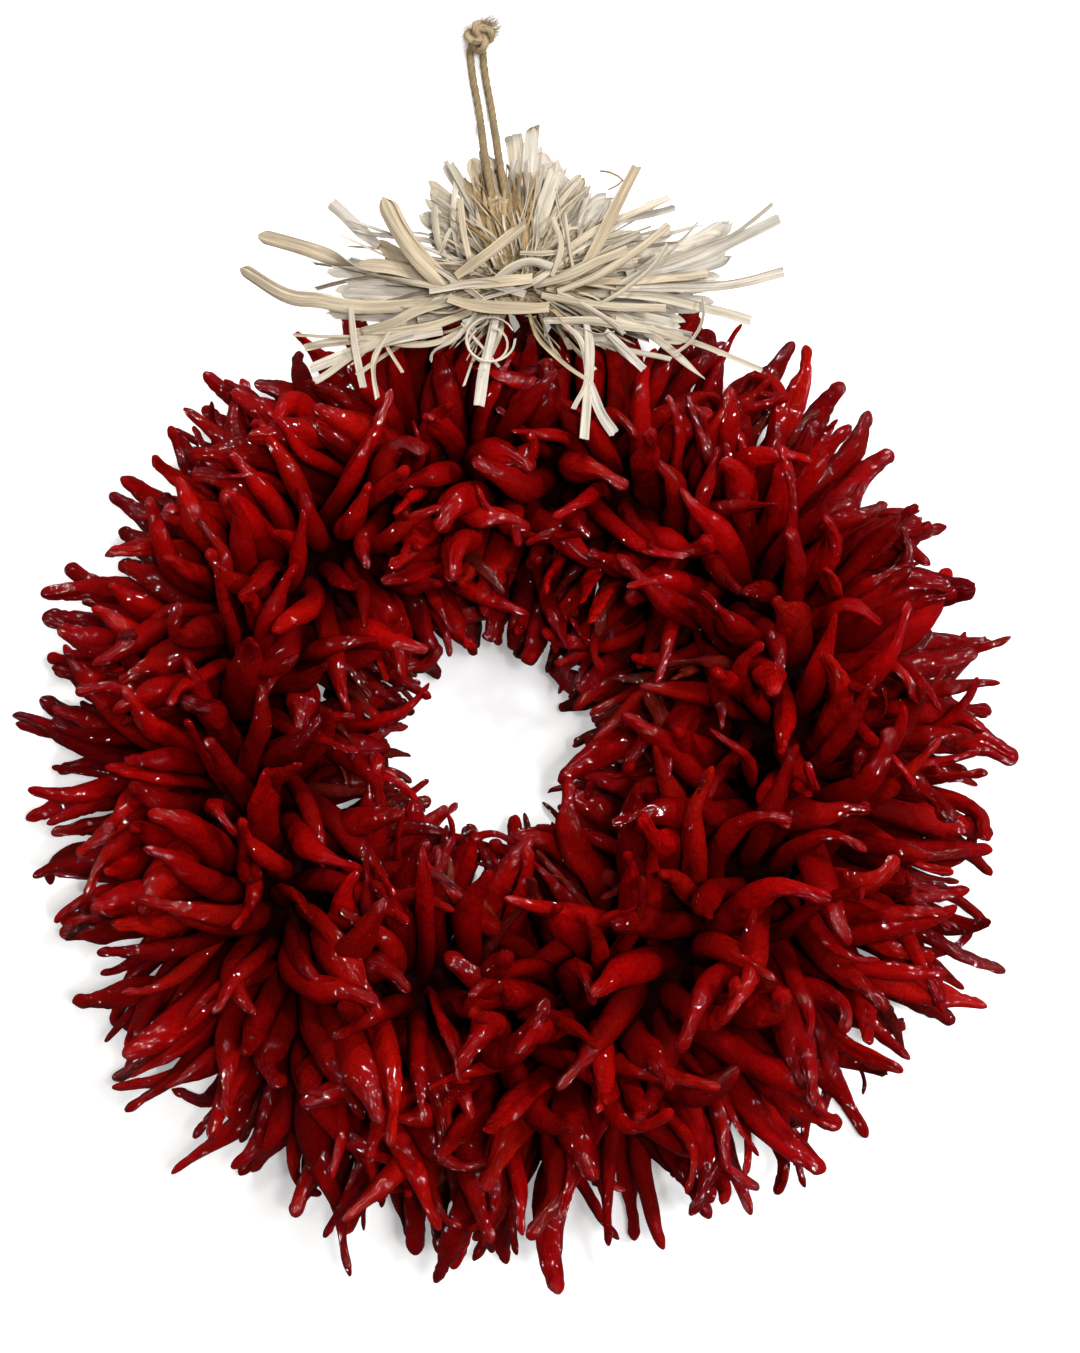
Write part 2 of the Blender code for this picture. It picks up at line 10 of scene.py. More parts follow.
import bpy
import numpy as np
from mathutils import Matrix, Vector


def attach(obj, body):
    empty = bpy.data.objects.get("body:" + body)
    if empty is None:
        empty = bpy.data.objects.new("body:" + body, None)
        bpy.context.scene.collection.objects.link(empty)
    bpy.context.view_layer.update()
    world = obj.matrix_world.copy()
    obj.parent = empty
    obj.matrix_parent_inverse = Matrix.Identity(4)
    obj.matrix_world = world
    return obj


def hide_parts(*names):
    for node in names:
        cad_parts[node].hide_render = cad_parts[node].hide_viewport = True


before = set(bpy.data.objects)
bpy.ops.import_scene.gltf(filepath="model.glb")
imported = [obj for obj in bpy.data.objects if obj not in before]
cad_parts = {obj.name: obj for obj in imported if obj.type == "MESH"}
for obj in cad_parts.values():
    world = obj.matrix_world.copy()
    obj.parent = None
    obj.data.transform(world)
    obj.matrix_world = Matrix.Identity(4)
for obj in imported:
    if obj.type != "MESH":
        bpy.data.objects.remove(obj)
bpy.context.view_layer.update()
ROOT = "root"
MM = 0.001

# ---------------------------------------------------------------------------------------------
# The wreath's driving dimensions, as the solid model has them
# ---------------------------------------------------------------------------------------------

HOLE_CENTRE = (-7.2 * MM, -15.5 * MM)
RING_OFFSET = (4.5 * MM, -6.5 * MM)     # the wire ring's centre, seen from the hole's
RING_RADIUS = 105 * MM
RING_HEIGHT = 24 * MM

REACH = 79 * MM                         # from the wire ring to the chilies' tips
REACH_SWAY = 0.115                      # longer on the heavy side, shorter opposite
HEAVY_SIDE = math.radians(-66)
REACH_SQUARE = 0.03                     # the outline is a little square, with its corners diagonal
HOLE_RADIUS = 30 * MM
HOLE_RAGGED = 4 * MM

STEM_START = 13 * MM                    # from the wire ring to a chili's stem end
CHAIN = 7                               # points along a chili's settled middle line
GIRTH = (4.6 * MM, 8.2 * MM)            # half-widths of the slimmest and the fattest
LONGEST = 78 * MM
LEAST_CLEAR = 0.4 * MM                  # between a chili and the table

# Rows round the ring: face angle (0 outwards, 90 to the front, 180 into the hole) and pieces
MAIN_ROWS = ((-8, 44), (12, 40), (34, 30), (57, 24), (81, 20), (106, 15), (134, 12), (162, 13))
# Rows of the lesser chilies: first and last face angle, step and spacing in a row
FILL_ROWS = (-4, 186, 9, 37 * MM)
BACK_ROWS = (-164, -20, 20, 42 * MM)
MAIN_SHARE = 1.01
FILL_SHARE = 0.95
BACK_SHARE = 0.92
MAIN_SEED = 11
FILL_SEED = 23
BACK_SEED = 37

# The surface that the bow lies on: low past the rim, high over the chilies' shoulders
SEAT_LOW = 46 * MM
SEAT_HIGH = 80 * MM
SEAT_OUTER = 158 * MM                   # from the hole's centre, towards +Y
SEAT_INNER = 116 * MM
SEAT_HALF_WIDTH = 112 * MM
SEAT_END = 92 * MM                      # the seat's inner end, towards +Y

WAIST = (HOLE_CENTRE[0] + 8.9 * MM, HOLE_CENTRE[1] + 161.5 * MM, 57.5 * MM)  # the bow's tied middle

TWINE = 3.0 * MM                        # its thickness
# The loop's middle line from the bow to the knot, in mm from the hole's centre
LOOP_ROUTE = ((3.3, 183.5, 56.6), (2.0, 190, 56.6), (0.8, 197, 56.5), (-0.5, 203.8, 56.0),
              (-1.5, 210, 54), (-2.2, 215.3, 49.5), (-2.7, 219.6, 42), (-3.1, 223.2, 31.5),
              (-3.5, 226.8, 20), (-4.0, 231.3, 9), (-4.7, 237, 3.3), (-5.8, 243.5, 1.9),
              (-7.1, 250.3, 1.8), (-8.0, 256.5, 1.8), (-8.5, 262, 1.8))
LOOP_SPREAD = 2.5                       # each strand's distance from the route, in mm
KNOT_CENTRE = (-7.5, 267.5, 5.6)        # in mm from the hole's centre


def from_hole(point, aside=0.0):
    """A point given in mm from the hole's centre, in metres."""
    return (HOLE_CENTRE[0] + (point[0] + aside) * MM, HOLE_CENTRE[1] + point[1] * MM, point[2] * MM)


def smooth_line(line, places):
    """Points of a line at shares of its point count, along a smooth curve through its points."""
    line = np.asarray(line, float)
    spots = np.clip(np.asarray(places, float), 0, 1) * (len(line) - 1)
    k = np.minimum(spots.astype(int), len(line) - 2)
    t = (spots - k).reshape(-1, *[1] * (line.ndim - 1))
    padded = np.concatenate((2 * line[:1] - line[1:2], line, 2 * line[-1:] - line[-2:-1]))
    a, b, c, d = padded[k], padded[k + 1], padded[k + 2], padded[k + 3]
    curved = (2 * a - 5 * b + 4 * c - d) * t ** 2 + (3 * b - a - 3 * c + d) * t ** 3
    return 0.5 * (2 * b + (c - a) * t + curved)


def eased(x):
    """0 to 1, with a smooth start and end."""
    x = np.clip(x, 0, 1)
    return x * x * (3 - 2 * x)


def unit(vectors):
    """The vectors with a length of one."""
    return vectors / np.maximum(np.linalg.norm(vectors, axis=-1, keepdims=True), 1e-9)


def stacked(*parts):
    """Arrays of matching shapes as the components of vectors."""
    return np.stack(np.broadcast_arrays(*parts), axis=-1)


def angles_round(count):
    """Even angles once round."""
    return 2 * np.pi * np.arange(count) / count


def spokes(angles, across, over):
    """Directions (..., angles, 3) at angles from across (..., 3) towards over (..., 3)."""
    angles = angles[:, None]
    return np.cos(angles) * across[..., None, :] + np.sin(angles) * over[..., None, :]


# ---------------------------------------------------------------------------------------------
# Camera and lights
# ---------------------------------------------------------------------------------------------

VIEW_HEIGHT = 0.90                      # camera over the table
VIEW_PLANE = 30 * MM                    # the height at which the view is as tall as VIEW_TALL
VIEW_TALL = 507.4 * MM
VIEW_AIM = (16.1 * MM, 20.4 * MM)       # the view's middle, from the hole's centre
AMBIENT = 0.02                          # strength of the light from all round
FLOOR_HALF = 3.0                        # half the floor's side
FLOOR_LOW = -0.3 * MM                   # just under the table's height, on which the wreath lies
FLOOR_GLOW = 0.30                       # a white floor lit from below, so that shadows stay pale


def add_camera():
    """Looks straight down on the shown side."""
    data = bpy.data.cameras.new("camera")
    data.sensor_width = 36
    data.lens = 0.5 * data.sensor_width * (VIEW_HEIGHT - VIEW_PLANE) / (0.5 * VIEW_TALL)
    camera = bpy.data.objects.new("camera", data)
    camera.location = (HOLE_CENTRE[0] + VIEW_AIM[0], HOLE_CENTRE[1] + VIEW_AIM[1], VIEW_HEIGHT)
    bpy.context.scene.collection.objects.link(camera)
    bpy.context.scene.camera = camera


def add_light(name, place, size, power, colour=(1, 1, 1), in_gloss=True):
    """A square soft light aimed at the wreath's middle."""
    data = bpy.data.lights.new(name, "AREA")
    data.size = size
    data.energy = power
    data.color = colour
    light = bpy.data.objects.new(name, data)
    light.location = place
    light.rotation_euler = (-Vector(place)).to_track_quat("-Z", "Y").to_euler()
    light.visible_glossy = in_gloss
    bpy.context.scene.collection.objects.link(light)


def add_floor():
    """A plain pale floor, which the lacquer doesn't mirror."""
    half, low = FLOOR_HALF, FLOOR_LOW
    mesh = bpy.data.meshes.new("floor")
    mesh.from_pydata([(-half, -half, low), (half, -half, low), (half, half, low), (-half, half, low)],
                     [], [(0, 1, 2, 3)])
    mesh.materials.append(floor_finish())
    floor = bpy.data.objects.new("floor", mesh)
    floor.visible_glossy = False
    bpy.context.scene.collection.objects.link(floor)


def add_studio():
    """The floor, a broad soft light and four small lamps that glint in the lacquer."""
    add_light("broad", (0.45, 0.10, 1.6), 0.60, 15, in_gloss=False)
    add_light("lamp_top", (0.12, 1.20, 1.25), 0.17, 17.5, (1.0, 0.985, 0.96))
    add_light("lamp_left", (-1.10, 0.30, 1.10), 0.13, 8.0, (1.0, 0.985, 0.97))
    add_light("lamp_right", (1.10, 0.35, 1.10), 0.17, 19.0, (0.98, 0.99, 1.0))
    add_light("lamp_high", (0.25, 0.05, 1.65), 0.11, 5.5, (1.0, 0.985, 0.97))
    world = bpy.data.worlds.new("studio")
    world.use_nodes = True
    background = world.node_tree.nodes["Background"]
    fed(world.node_tree, background, Color=(0.95, 0.97, 1.0), Strength=AMBIENT)
    bpy.context.scene.world = world
    bpy.context.scene.view_settings.view_transform = "Standard"
    add_floor()


# ---------------------------------------------------------------------------------------------
# Meshes made of many small closed tubes
# ---------------------------------------------------------------------------------------------

class Batch:
    """Many closed tubes with per-vertex values, joined into one mesh object."""

    def __init__(self):
        self.points, self.quads, self.triangles, self.values = [], [], [], {}
        self.size = 0

    def add(self, rings, **values):
        """Tubes from points (tubes, rings, sides, 3). A value has the same shape, or one number each."""
        rings = np.asarray(rings, float)
        tubes, count, sides = rings.shape[:3]
        each = count * sides + 2
        self.points.append(self._with_poles(rings).reshape(-1, 3))
        for name, value in values.items():
            value = np.asarray(value, float)
            vector = value.ndim == 4
            flat = np.broadcast_to(value, (tubes, count, sides) + value.shape[3:])
            shaped = self._with_poles(flat if vector else flat[..., None])
            self.values.setdefault(name, []).append(shaped.reshape(-1, 3 if vector else 1))
        ring, side = np.meshgrid(np.arange(count - 1), np.arange(sides), indexing="ij")
        here, after = ring * sides + side, ring * sides + (side + 1) % sides
        quads = np.stack((here, after, after + sides, here + sides), axis=-1).reshape(-1, 4)
        edge, turned = np.arange(sides), np.arange(1, sides + 1) % sides
        last = (count - 1) * sides
        start = np.stack((turned, edge, np.full(sides, count * sides)), axis=-1)
        end = np.stack((last + edge, last + turned, np.full(sides, count * sides + 1)), axis=-1)
        caps = np.concatenate((start, end))
        offsets = self.size + each * np.arange(tubes)[:, None, None]
        self.quads.append((quads[None] + offsets).reshape(-1, 4))
        self.triangles.append((caps[None] + offsets).reshape(-1, 3))
        self.size += tubes * each

    @staticmethod
    def _with_poles(rings):
        """The rings' vertices and one more in the middle of each end."""
        tubes, count, sides, width = rings.shape
        ends = rings[:, (0, -1)].mean(axis=2)
        return np.concatenate((rings.reshape(tubes, count * sides, width), ends), axis=1)

    def make(self, name, finish, sharp=None):
        """The mesh object. Edges over the sharp angle (degrees) keep a hard shade."""
        points = np.concatenate(self.points)
        quads, triangles = np.concatenate(self.quads), np.concatenate(self.triangles)
        corners = np.concatenate((quads.ravel(), triangles.ravel()))
        totals = np.concatenate((np.full(len(quads), 4), np.full(len(triangles), 3)))
        mesh = bpy.data.meshes.new(name)
        mesh.vertices.add(len(points))
        mesh.vertices.foreach_set("co", points.astype(np.float32).ravel())
        mesh.loops.add(len(corners))
        mesh.loops.foreach_set("vertex_index", corners.astype(np.int32))
        mesh.polygons.add(len(totals))
        mesh.polygons.foreach_set("loop_start", (np.cumsum(totals) - totals).astype(np.int32))
        mesh.update(calc_edges=True)
        mesh.shade_smooth()
        if sharp is not None:
            mesh.set_sharp_from_angle(angle=math.radians(sharp))
        for value, parts in self.values.items():
            data = np.concatenate(parts)
            wide = data.shape[1] == 3
            layer = mesh.attributes.new(value, "FLOAT_VECTOR" if wide else "FLOAT", "POINT")
            layer.data.foreach_set("vector" if wide else "value", data.astype(np.float32).ravel())
        return placed(name, mesh, finish)


def placed(name, mesh, finish):
    """A mesh as one of the wreath's pieces."""
    mesh.materials.append(finish)
    made = bpy.data.objects.new(name, mesh)
    bpy.context.scene.collection.objects.link(made)
    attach(made, ROOT)
    return made


def carried_frames(lines, start=None):
    """Two unit vectors across each line (n, points, 3) at its points, carried along without twist."""
    runs = unit(np.gradient(lines, axis=1))
    helper = np.tile(np.array((0.31, 0.17, 0.93)), (len(lines), 1)) if start is None else start
    first = unit(helper - (helper * runs[:, 0]).sum(axis=1, keepdims=True) * runs[:, 0])
    across = [first]
    for k in range(1, lines.shape[1]):
        last = across[-1]
        across.append(unit(last - (last * runs[:, k]).sum(axis=1, keepdims=True) * runs[:, k]))
    across = np.stack(across, axis=1)
    return across, np.cross(runs, across)


def value_noise(points, seed):
    """Smooth noise from -1 to 1 at points (..., 3), with one cell to each unit."""
    cell = np.floor(points).astype(np.int64)
    ease = eased(points - cell)
    total = np.zeros(points.shape[:-1])
    for corner in np.ndindex(2, 2, 2):
        spot = cell + np.array(corner)
        mixed = spot[..., 0] * 374761393 + spot[..., 1] * 668265263 + spot[..., 2] * 912271 + seed * 97463
        mixed = (mixed ^ (mixed >> 13)) * 1274126177
        value = ((mixed ^ (mixed >> 16)) & 0xFFFF) / 32767.5 - 1
        weight = np.ones(points.shape[:-1])
        for axis, step in enumerate(corner):
            weight = weight * (ease[..., axis] if step else 1 - ease[..., axis])
        total += weight * value
    return total


# ---------------------------------------------------------------------------------------------
# Finishes
# ---------------------------------------------------------------------------------------------

def new_finish(name):
    """(material, its node tree, its shader)."""
    made = bpy.data.materials.new(name)
    made.use_nodes = True
    return made, made.node_tree, made.node_tree.nodes["Principled BSDF"]


def plug(tree, socket, value):
    """Feeds a socket with another node's output, a colour or a number."""
    if isinstance(value, bpy.types.NodeSocket):
        tree.links.new(value, socket)
    elif socket.type == "RGBA":
        socket.default_value = (*value, 1)
    else:
        socket.default_value = value


def fed(tree, node, **inputs):
    """The node, with inputs fed by name. An underscore stands for a space."""
    for name, value in inputs.items():
        plug(tree, node.inputs[name.replace("_", " ")], value)
    return node


def add_node(tree, kind, settings=None, **inputs):
    """A shader node with its settings and inputs."""
    made = tree.nodes.new(kind)
    for key, value in (settings or {}).items():
        setattr(made, key, value)
    return fed(tree, made, **inputs)


def noise(tree, place, scale, detail=2.0, rough=0.5):
    """Cloudy noise from 0 to 1. The scale is in features to the metre."""
    return add_node(tree, "ShaderNodeTexNoise", Vector=place, Scale=scale, Detail=detail,
                    Roughness=rough).outputs["Fac"]


def mapped(tree, value, low, high, to_low=0.0, to_high=1.0):
    """A value's range moved to another one, clamped."""
    return add_node(tree, "ShaderNodeMapRange", Value=value, From_Min=low, From_Max=high,
                    To_Min=to_low, To_Max=to_high).outputs["Result"]


def combined(tree, operation, first, second):
    """The two numbers put together by a maths operation."""
    made = add_node(tree, "ShaderNodeMath", {"operation": operation})
    plug(tree, made.inputs[0], first)
    plug(tree, made.inputs[1], second)
    return made.outputs[0]


def mixed_colour(tree, factor, first, second, blend="MIX"):
    """One colour laid over another by a factor."""
    made = add_node(tree, "ShaderNodeMix", {"data_type": "RGBA", "blend_type": blend})
    for number, value in ((0, factor), (6, first), (7, second)):
        plug(tree, made.inputs[number], value)
    return made.outputs[2]


def shaded(tree, colour, share):
    """A colour multiplied by a number."""
    grey = add_node(tree, "ShaderNodeCombineColor", Red=share, Green=share, Blue=share)
    return mixed_colour(tree, 1.0, colour, grey.outputs["Color"], "MULTIPLY")


def stretched(tree, name, scale):
    """A stored place on a piece's own skin, scaled on each axis."""
    place = add_node(tree, "ShaderNodeAttribute", {"attribute_name": name}).outputs["Vector"]
    return add_node(tree, "ShaderNodeMapping", Vector=place, Scale=scale).outputs["Vector"]


def stored(tree, name):
    """A number stored at a piece's points."""
    return add_node(tree, "ShaderNodeAttribute", {"attribute_name": name}).outputs["Fac"]


def bump(tree, height, distance, strength, under=None):
    """A normal with relief of a height, over another normal if one is given."""
    made = add_node(tree, "ShaderNodeBump", Height=height, Strength=strength, Distance=distance)
    if under is not None:
        tree.links.new(under, made.inputs["Normal"])
    return made.outputs["Normal"]


def floor_finish():
    """Plain white that glows a little."""
    made, tree, shader = new_finish("floor")
    place = add_node(tree, "ShaderNodeTexCoord").outputs["Object"]
    tone = mixed_colour(tree, noise(tree, place, 3.0), (0.86, 0.86, 0.86), (0.90, 0.90, 0.895))
    fed(tree, shader, Base_Color=tone, Roughness=0.9, Specular_IOR_Level=0.1,
        Emission_Color=(1, 1, 1), Emission_Strength=FLOOR_GLOW)
    return made


CRUMPLE = 4.6 * MM                      # depth of the lacquer's creases and dimples
UNDER_CRUMPLE = 0.22                    # share of it in the skin under the lacquer


def chili_colour(tree, skin, tip, reds):
    """Blotched and speckled red, with painted shade that darkens it towards the stem end, for the shadow deep
    in the ring.
    """
    dark, light, warm = reds
    blotch = mapped(tree, noise(tree, skin, 70.0, 3.0, 0.6), 0.32, 0.70)
    shade = combined(tree, "ADD", combined(tree, "MULTIPLY", stored(tree, "shade"), 0.75),
                     combined(tree, "MULTIPLY", blotch, 0.25))
    lit = mixed_colour(tree, stored(tree, "warmth"), light, warm)
    colour = mixed_colour(tree, shade, dark, lit)
    # Painted shade: the red fades to near black towards the stem end, standing in for the shadow deep among
    # the chilies.
    painted_stem_shade = mapped(tree, tip, 0.18, 0.70, 0.92, 0.0)
    colour = mixed_colour(tree, painted_stem_shade, colour, tuple(0.3 * c for c in dark))
    speckle = mapped(tree, noise(tree, skin, 1300.0, 2.0, 0.75), 0.28, 0.72, 0.62, 1.45)
    return shaded(tree, colour, speckle)


def chili_finish(name, reds, creases, lengthwise):
    """Dried red skin, matt with crumpled lacquer in patches, most of all on the tip.

    The creases' depth is a share of CRUMPLE, and they are longer where lengthwise is smaller.
    """
    made, tree, shader = new_finish(name)
    skin, tip = stretched(tree, "skin", (1, 1, 1)), stored(tree, "tip")
    pooled = combined(tree, "MAXIMUM", mapped(tree, tip, 0.58, 0.90), stored(tree, "gloss"))
    patches = combined(tree, "ADD", noise(tree, skin, 160.0, 1.0), combined(tree, "MULTIPLY", pooled, 0.30))
    ridge = noise(tree, stretched(tree, "skin", (1, 1, lengthwise)), 180.0, 0.0)
    fold = combined(tree, "ABSOLUTE", combined(tree, "SUBTRACT", ridge, 0.5), 0.0)
    dimple = combined(tree, "MULTIPLY", noise(tree, skin, 330.0, 0.0), -0.45)
    height = combined(tree, "MULTIPLY", combined(tree, "ADD", fold, dimple),
                      mapped(tree, tip, 0.35, 0.85, 0.35, 1.0))
    under = bump(tree, height, -UNDER_CRUMPLE * CRUMPLE * creases, 1.0)
    fed(tree, shader, Base_Color=chili_colour(tree, skin, tip, reds), Specular_IOR_Level=0.015,
        Roughness=mapped(tree, noise(tree, skin, 220.0, 3.0, 0.6), 0.3, 0.7, 0.5, 0.7),
        Normal=bump(tree, noise(tree, skin, 900.0), 0.12 * MM, 0.7, under),
        Coat_Weight=mapped(tree, patches, 0.65, 0.69), Coat_Roughness=0.03, Coat_IOR=1.5,
        Coat_Normal=bump(tree, height, -CRUMPLE * creases, 1.0))
    return made


def painted_shade_core_finish():
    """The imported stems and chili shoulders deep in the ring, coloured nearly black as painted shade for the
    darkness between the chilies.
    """
    made, tree, shader = new_finish("ring_core")
    place = add_node(tree, "ShaderNodeTexCoord").outputs["Object"]
    fed(tree, shader, Specular_IOR_Level=0.02,
        # Painted shade: near-black red for the shadow in the gaps, not the stems' own colour.
        Base_Color=mixed_colour(tree, noise(tree, place, 130.0, 3.0), (0.003, 0.0002, 0.0002),
                                (0.010, 0.0004, 0.0004)),
        Roughness=mapped(tree, noise(tree, place, 300.0), 0.3, 0.7, 0.5, 0.8),
        Normal=bump(tree, noise(tree, place, 500.0, 3.0), 1.0 * MM, 0.8))
    return made


def husk_finish(name, pale, cream, tan):
    """Dry husk: cream with fine lengthwise fibres, from pale to tan by the strip's stored tone, which near
    the waist also carries painted shade.
    """
    made, tree, shader = new_finish(name)
    tone = stored(tree, "tone")
    fibre = noise(tree, stretched(tree, "skin", (1, 1, 0.035)), 2600.0, 3.0, 0.65)
    stain = noise(tree, stretched(tree, "skin", (1, 1, 0.3)), 130.0, 3.0, 0.6)
    vein = noise(tree, stretched(tree, "skin", (1, 1, 0.03)), 900.0, 2.0, 0.6)
    low = mixed_colour(tree, mapped(tree, tone, 0.0, 0.5), pale, cream)
    colour = mixed_colour(tree, mapped(tree, tone, 0.5, 1.0), low, tan)
    patch = combined(tree, "MULTIPLY", mapped(tree, stain, 0.30, 0.70, 0.84, 1.06),
                     mapped(tree, vein, 0.34, 0.62, 0.74, 1.06))
    shade = combined(tree, "MULTIPLY", mapped(tree, fibre, 0.30, 0.72, 0.70, 1.10), patch)
    fed(tree, shader, Base_Color=shaded(tree, colour, shade), Specular_IOR_Level=0.25,
        Roughness=mapped(tree, fibre, 0.3, 0.7, 0.52, 0.75), Normal=bump(tree, fibre, 0.25 * MM, 0.9))
    return made


def twine_finish(name, dark, light):
    """Jute: fibres that run with the twist, with darker specks."""
    made, tree, shader = new_finish(name)
    fibre = noise(tree, stretched(tree, "skin", (1, 1, 0.10)), 3200.0, 3.0, 0.7)
    speck = noise(tree, stretched(tree, "skin", (1, 1, 0.5)), 420.0, 3.0, 0.6)
    colour = mixed_colour(tree, mapped(tree, fibre, 0.3, 0.7), dark, light)
    speck_colour = tuple(0.35 * c for c in dark)
    colour = mixed_colour(tree, mapped(tree, speck, 0.60, 0.72, 0.0, 0.65), colour, speck_colour)
    fed(tree, shader, Base_Color=colour, Specular_IOR_Level=0.2,
        Roughness=mapped(tree, fibre, 0.3, 0.7, 0.7, 0.9), Normal=bump(tree, fibre, 0.3 * MM, 1.0))
    return made


# ---------------------------------------------------------------------------------------------
# Where the chilies lie: the solid model's own rules
# ---------------------------------------------------------------------------------------------

def ring_centre():
    """The middle of the wire ring, seen from above."""
    return (HOLE_CENTRE[0] + RING_OFFSET[0], HOLE_CENTRE[1] + RING_OFFSET[1])


def local_reach(around):
    """Ring wire to tips at an angle round the ring."""
    sway = REACH_SWAY * np.cos(around - HEAVY_SIDE)
    return REACH * (1 + sway - REACH_SQUARE * np.cos(4 * around))


def seat_height(y):
    """Height of the bow's seat at a distance y beyond the hole's centre."""
    share = np.clip((SEAT_OUTER - y) / (SEAT_OUTER - SEAT_INNER), 0, 1)
    return SEAT_LOW + (SEAT_HIGH - SEAT_LOW) * share * share * (3 - 2 * share)


def girth_profile(s):
    """Half-width of a chili along its length, as a share of its greatest."""
    shoulder = np.clip(s / 0.22, 0, 1)
    taper = np.clip((s - 0.42) / 0.58, 0, 1)
    return (0.60 + 0.40 * np.sin(0.5 * np.pi * shoulder)) * (1 - 0.78 * taper ** 1.7)


def spaced_rows(first, last, step, spacing):
    """Rows at even face angles, with the pieces that fit at a spacing between their tips."""
    rows = []
    for face in range(first, last, step):
        inward = math.cos(math.radians(face))
        tips = RING_RADIUS + 0.9 * REACH * inward
        rows.append((face, round(2 * math.pi * tips / (spacing * (0.76 + 0.24 * inward)))))
    return rows


def rows_of_chilies(rows, share, seed):
    """Middle lines (n, CHAIN, 3), half-widths (n) and face angles of the chilies, unsettled."""
    rng = np.random.default_rng(seed)
    cx, cy = ring_centre()
    lines, girths, faces = [], [], []
    for face, pieces in rows:
        turn = rng.uniform(0, 1)
        front = max(0.0, math.sin(math.radians(face)))
        splay = 0.16 + 0.30 * front
        for piece in range(pieces):
            around = 2 * math.pi * (piece + turn + rng.uniform(-0.35, 0.35)) / pieces
            tilt = math.radians(face + rng.normal(0, 5 + 6 * front))
            out = np.array((math.cos(around), math.sin(around), 0.0))
            along_ring = np.array((-math.sin(around), math.cos(around), 0.0))
            rise = math.cos(tilt) * out + np.array((0.0, 0.0, math.sin(tilt)))
            bunch = 0.6 * splay * math.sin(9 * around + 2.2 * tilt)
            lean = bunch + np.clip(rng.normal(0, splay), -2 * splay, 2 * splay)
            heading = rise + lean * along_ring
            heading /= np.linalg.norm(heading)
            reach = local_reach(around) * share * (1 - 0.10 * front) * rng.normal(1, 0.055)
            length = (reach - STEM_START) * math.sqrt(1 + 0.6 * lean * lean)
            length = min(LONGEST, length * (1 + 0.06 * max(0.0, -math.cos(tilt))))
            girth = rng.uniform(*GIRTH) * (0.80 + 0.20 * min(1.0, math.cos(tilt) + 0.9 + front))
            ring = np.array((cx, cy, RING_HEIGHT)) + RING_RADIUS * out
            start = ring + STEM_START * (0.8 * rise + 0.2 * heading)
            side = np.cross(heading, rng.normal(0, 1, 3))
            side /= np.linalg.norm(side)
            bend = rng.normal(0, 0.08) * length
            steps = np.linspace(0, 1, CHAIN)[:, None]
            lines.append(start + heading * length * steps + side * bend * (4 * steps * (1 - steps)))
            girths.append(girth)
            faces.append(face)
    return np.array(lines), np.array(girths), np.array(faces)


def near_pairs(points, radii, owner, margin):
    """Index pairs of points on different chilies that are within margin of touching."""
    firsts, seconds = [], []
    for low in range(0, len(points), 400):
        block = slice(low, min(low + 400, len(points)))
        apart = np.linalg.norm(points[block, None, :] - points[None, :, :], axis=2)
        close = apart < radii[block, None] + radii[None, :] + margin
        close &= owner[block, None] < owner[None, :]
        a, b = np.nonzero(close)
        firsts.append(a + low)
        seconds.append(b)
    return np.concatenate(firsts), np.concatenate(seconds)


def push_apart(points, radii, pairs):
    """Moves points on different chilies apart where the chilies would overlap."""
    a, b = pairs
    gap = points[a] - points[b]
    apart = np.maximum(np.linalg.norm(gap, axis=1), 1e-6)
    overlap = np.clip(0.96 * (radii[a] + radii[b]) - apart, 0, None)
    move = gap * (0.35 * overlap / apart)[:, None]
    for axis in range(3):
        points[:, axis] += np.bincount(a, move[:, axis], len(points))
        points[:, axis] -= np.bincount(b, move[:, axis], len(points))


def keep_clear(points, radii, hole):
    """Keeps points off the table, out of the middle hole and under the bow's seat."""
    low = radii + LEAST_CLEAR
    points[:, 2] = np.maximum(points[:, 2], low)
    from_middle = points[:, :2] - np.array(HOLE_CENTRE)
    distance = np.maximum(np.linalg.norm(from_middle, axis=1), 1e-6)
    short = np.clip(hole + radii - distance, 0, None)
    points[:, :2] += from_middle * (short / distance)[:, None]
    beyond = points[:, 1] - HOLE_CENTRE[1]
    under = (np.abs(points[:, 0]) < SEAT_HALF_WIDTH) & (beyond > SEAT_END)
    ceiling = np.where(under, seat_height(beyond) - radii, 1.0)
    points[:, 2] = np.maximum(np.minimum(points[:, 2], ceiling), low)


def settle(lines, girths):
    """Lets the chilies push each other apart until they lie against each other."""
    count = len(lines)
    s = np.linspace(0, 1, CHAIN)
    radii = (girths[:, None] * girth_profile(s)[None, :]).ravel()
    owner = np.repeat(np.arange(count), CHAIN)
    bends = lines[:, 2:] - 2 * lines[:, 1:-1] + lines[:, :-2]
    steps = np.linalg.norm(np.diff(lines, axis=1), axis=2)
    roots = lines[:, 0].copy()
    hole = np.repeat(HOLE_RADIUS + HOLE_RAGGED * np.sin(np.arange(count) * 2.4), CHAIN)
    for turn in range(42):
        points = lines.reshape(-1, 3)
        if turn % 6 == 0:
            pairs = near_pairs(points, radii, owner, 4 * MM)
        push_apart(points, radii, pairs)
        keep_clear(points, radii, hole)
        lines[:, 1:-1] += 0.3 * (0.5 * (lines[:, 2:] + lines[:, :-2] - bends) - lines[:, 1:-1])
        lines[:, 0] += 0.5 * (roots - lines[:, 0])
        for k in range(CHAIN - 1):
            run = lines[:, k + 1] - lines[:, k]
            run *= (steps[:, k] / np.linalg.norm(run, axis=1))[:, None]
            lines[:, k + 1] = lines[:, k] + run
    keep_clear(lines.reshape(-1, 3), radii, hole)
    return lines


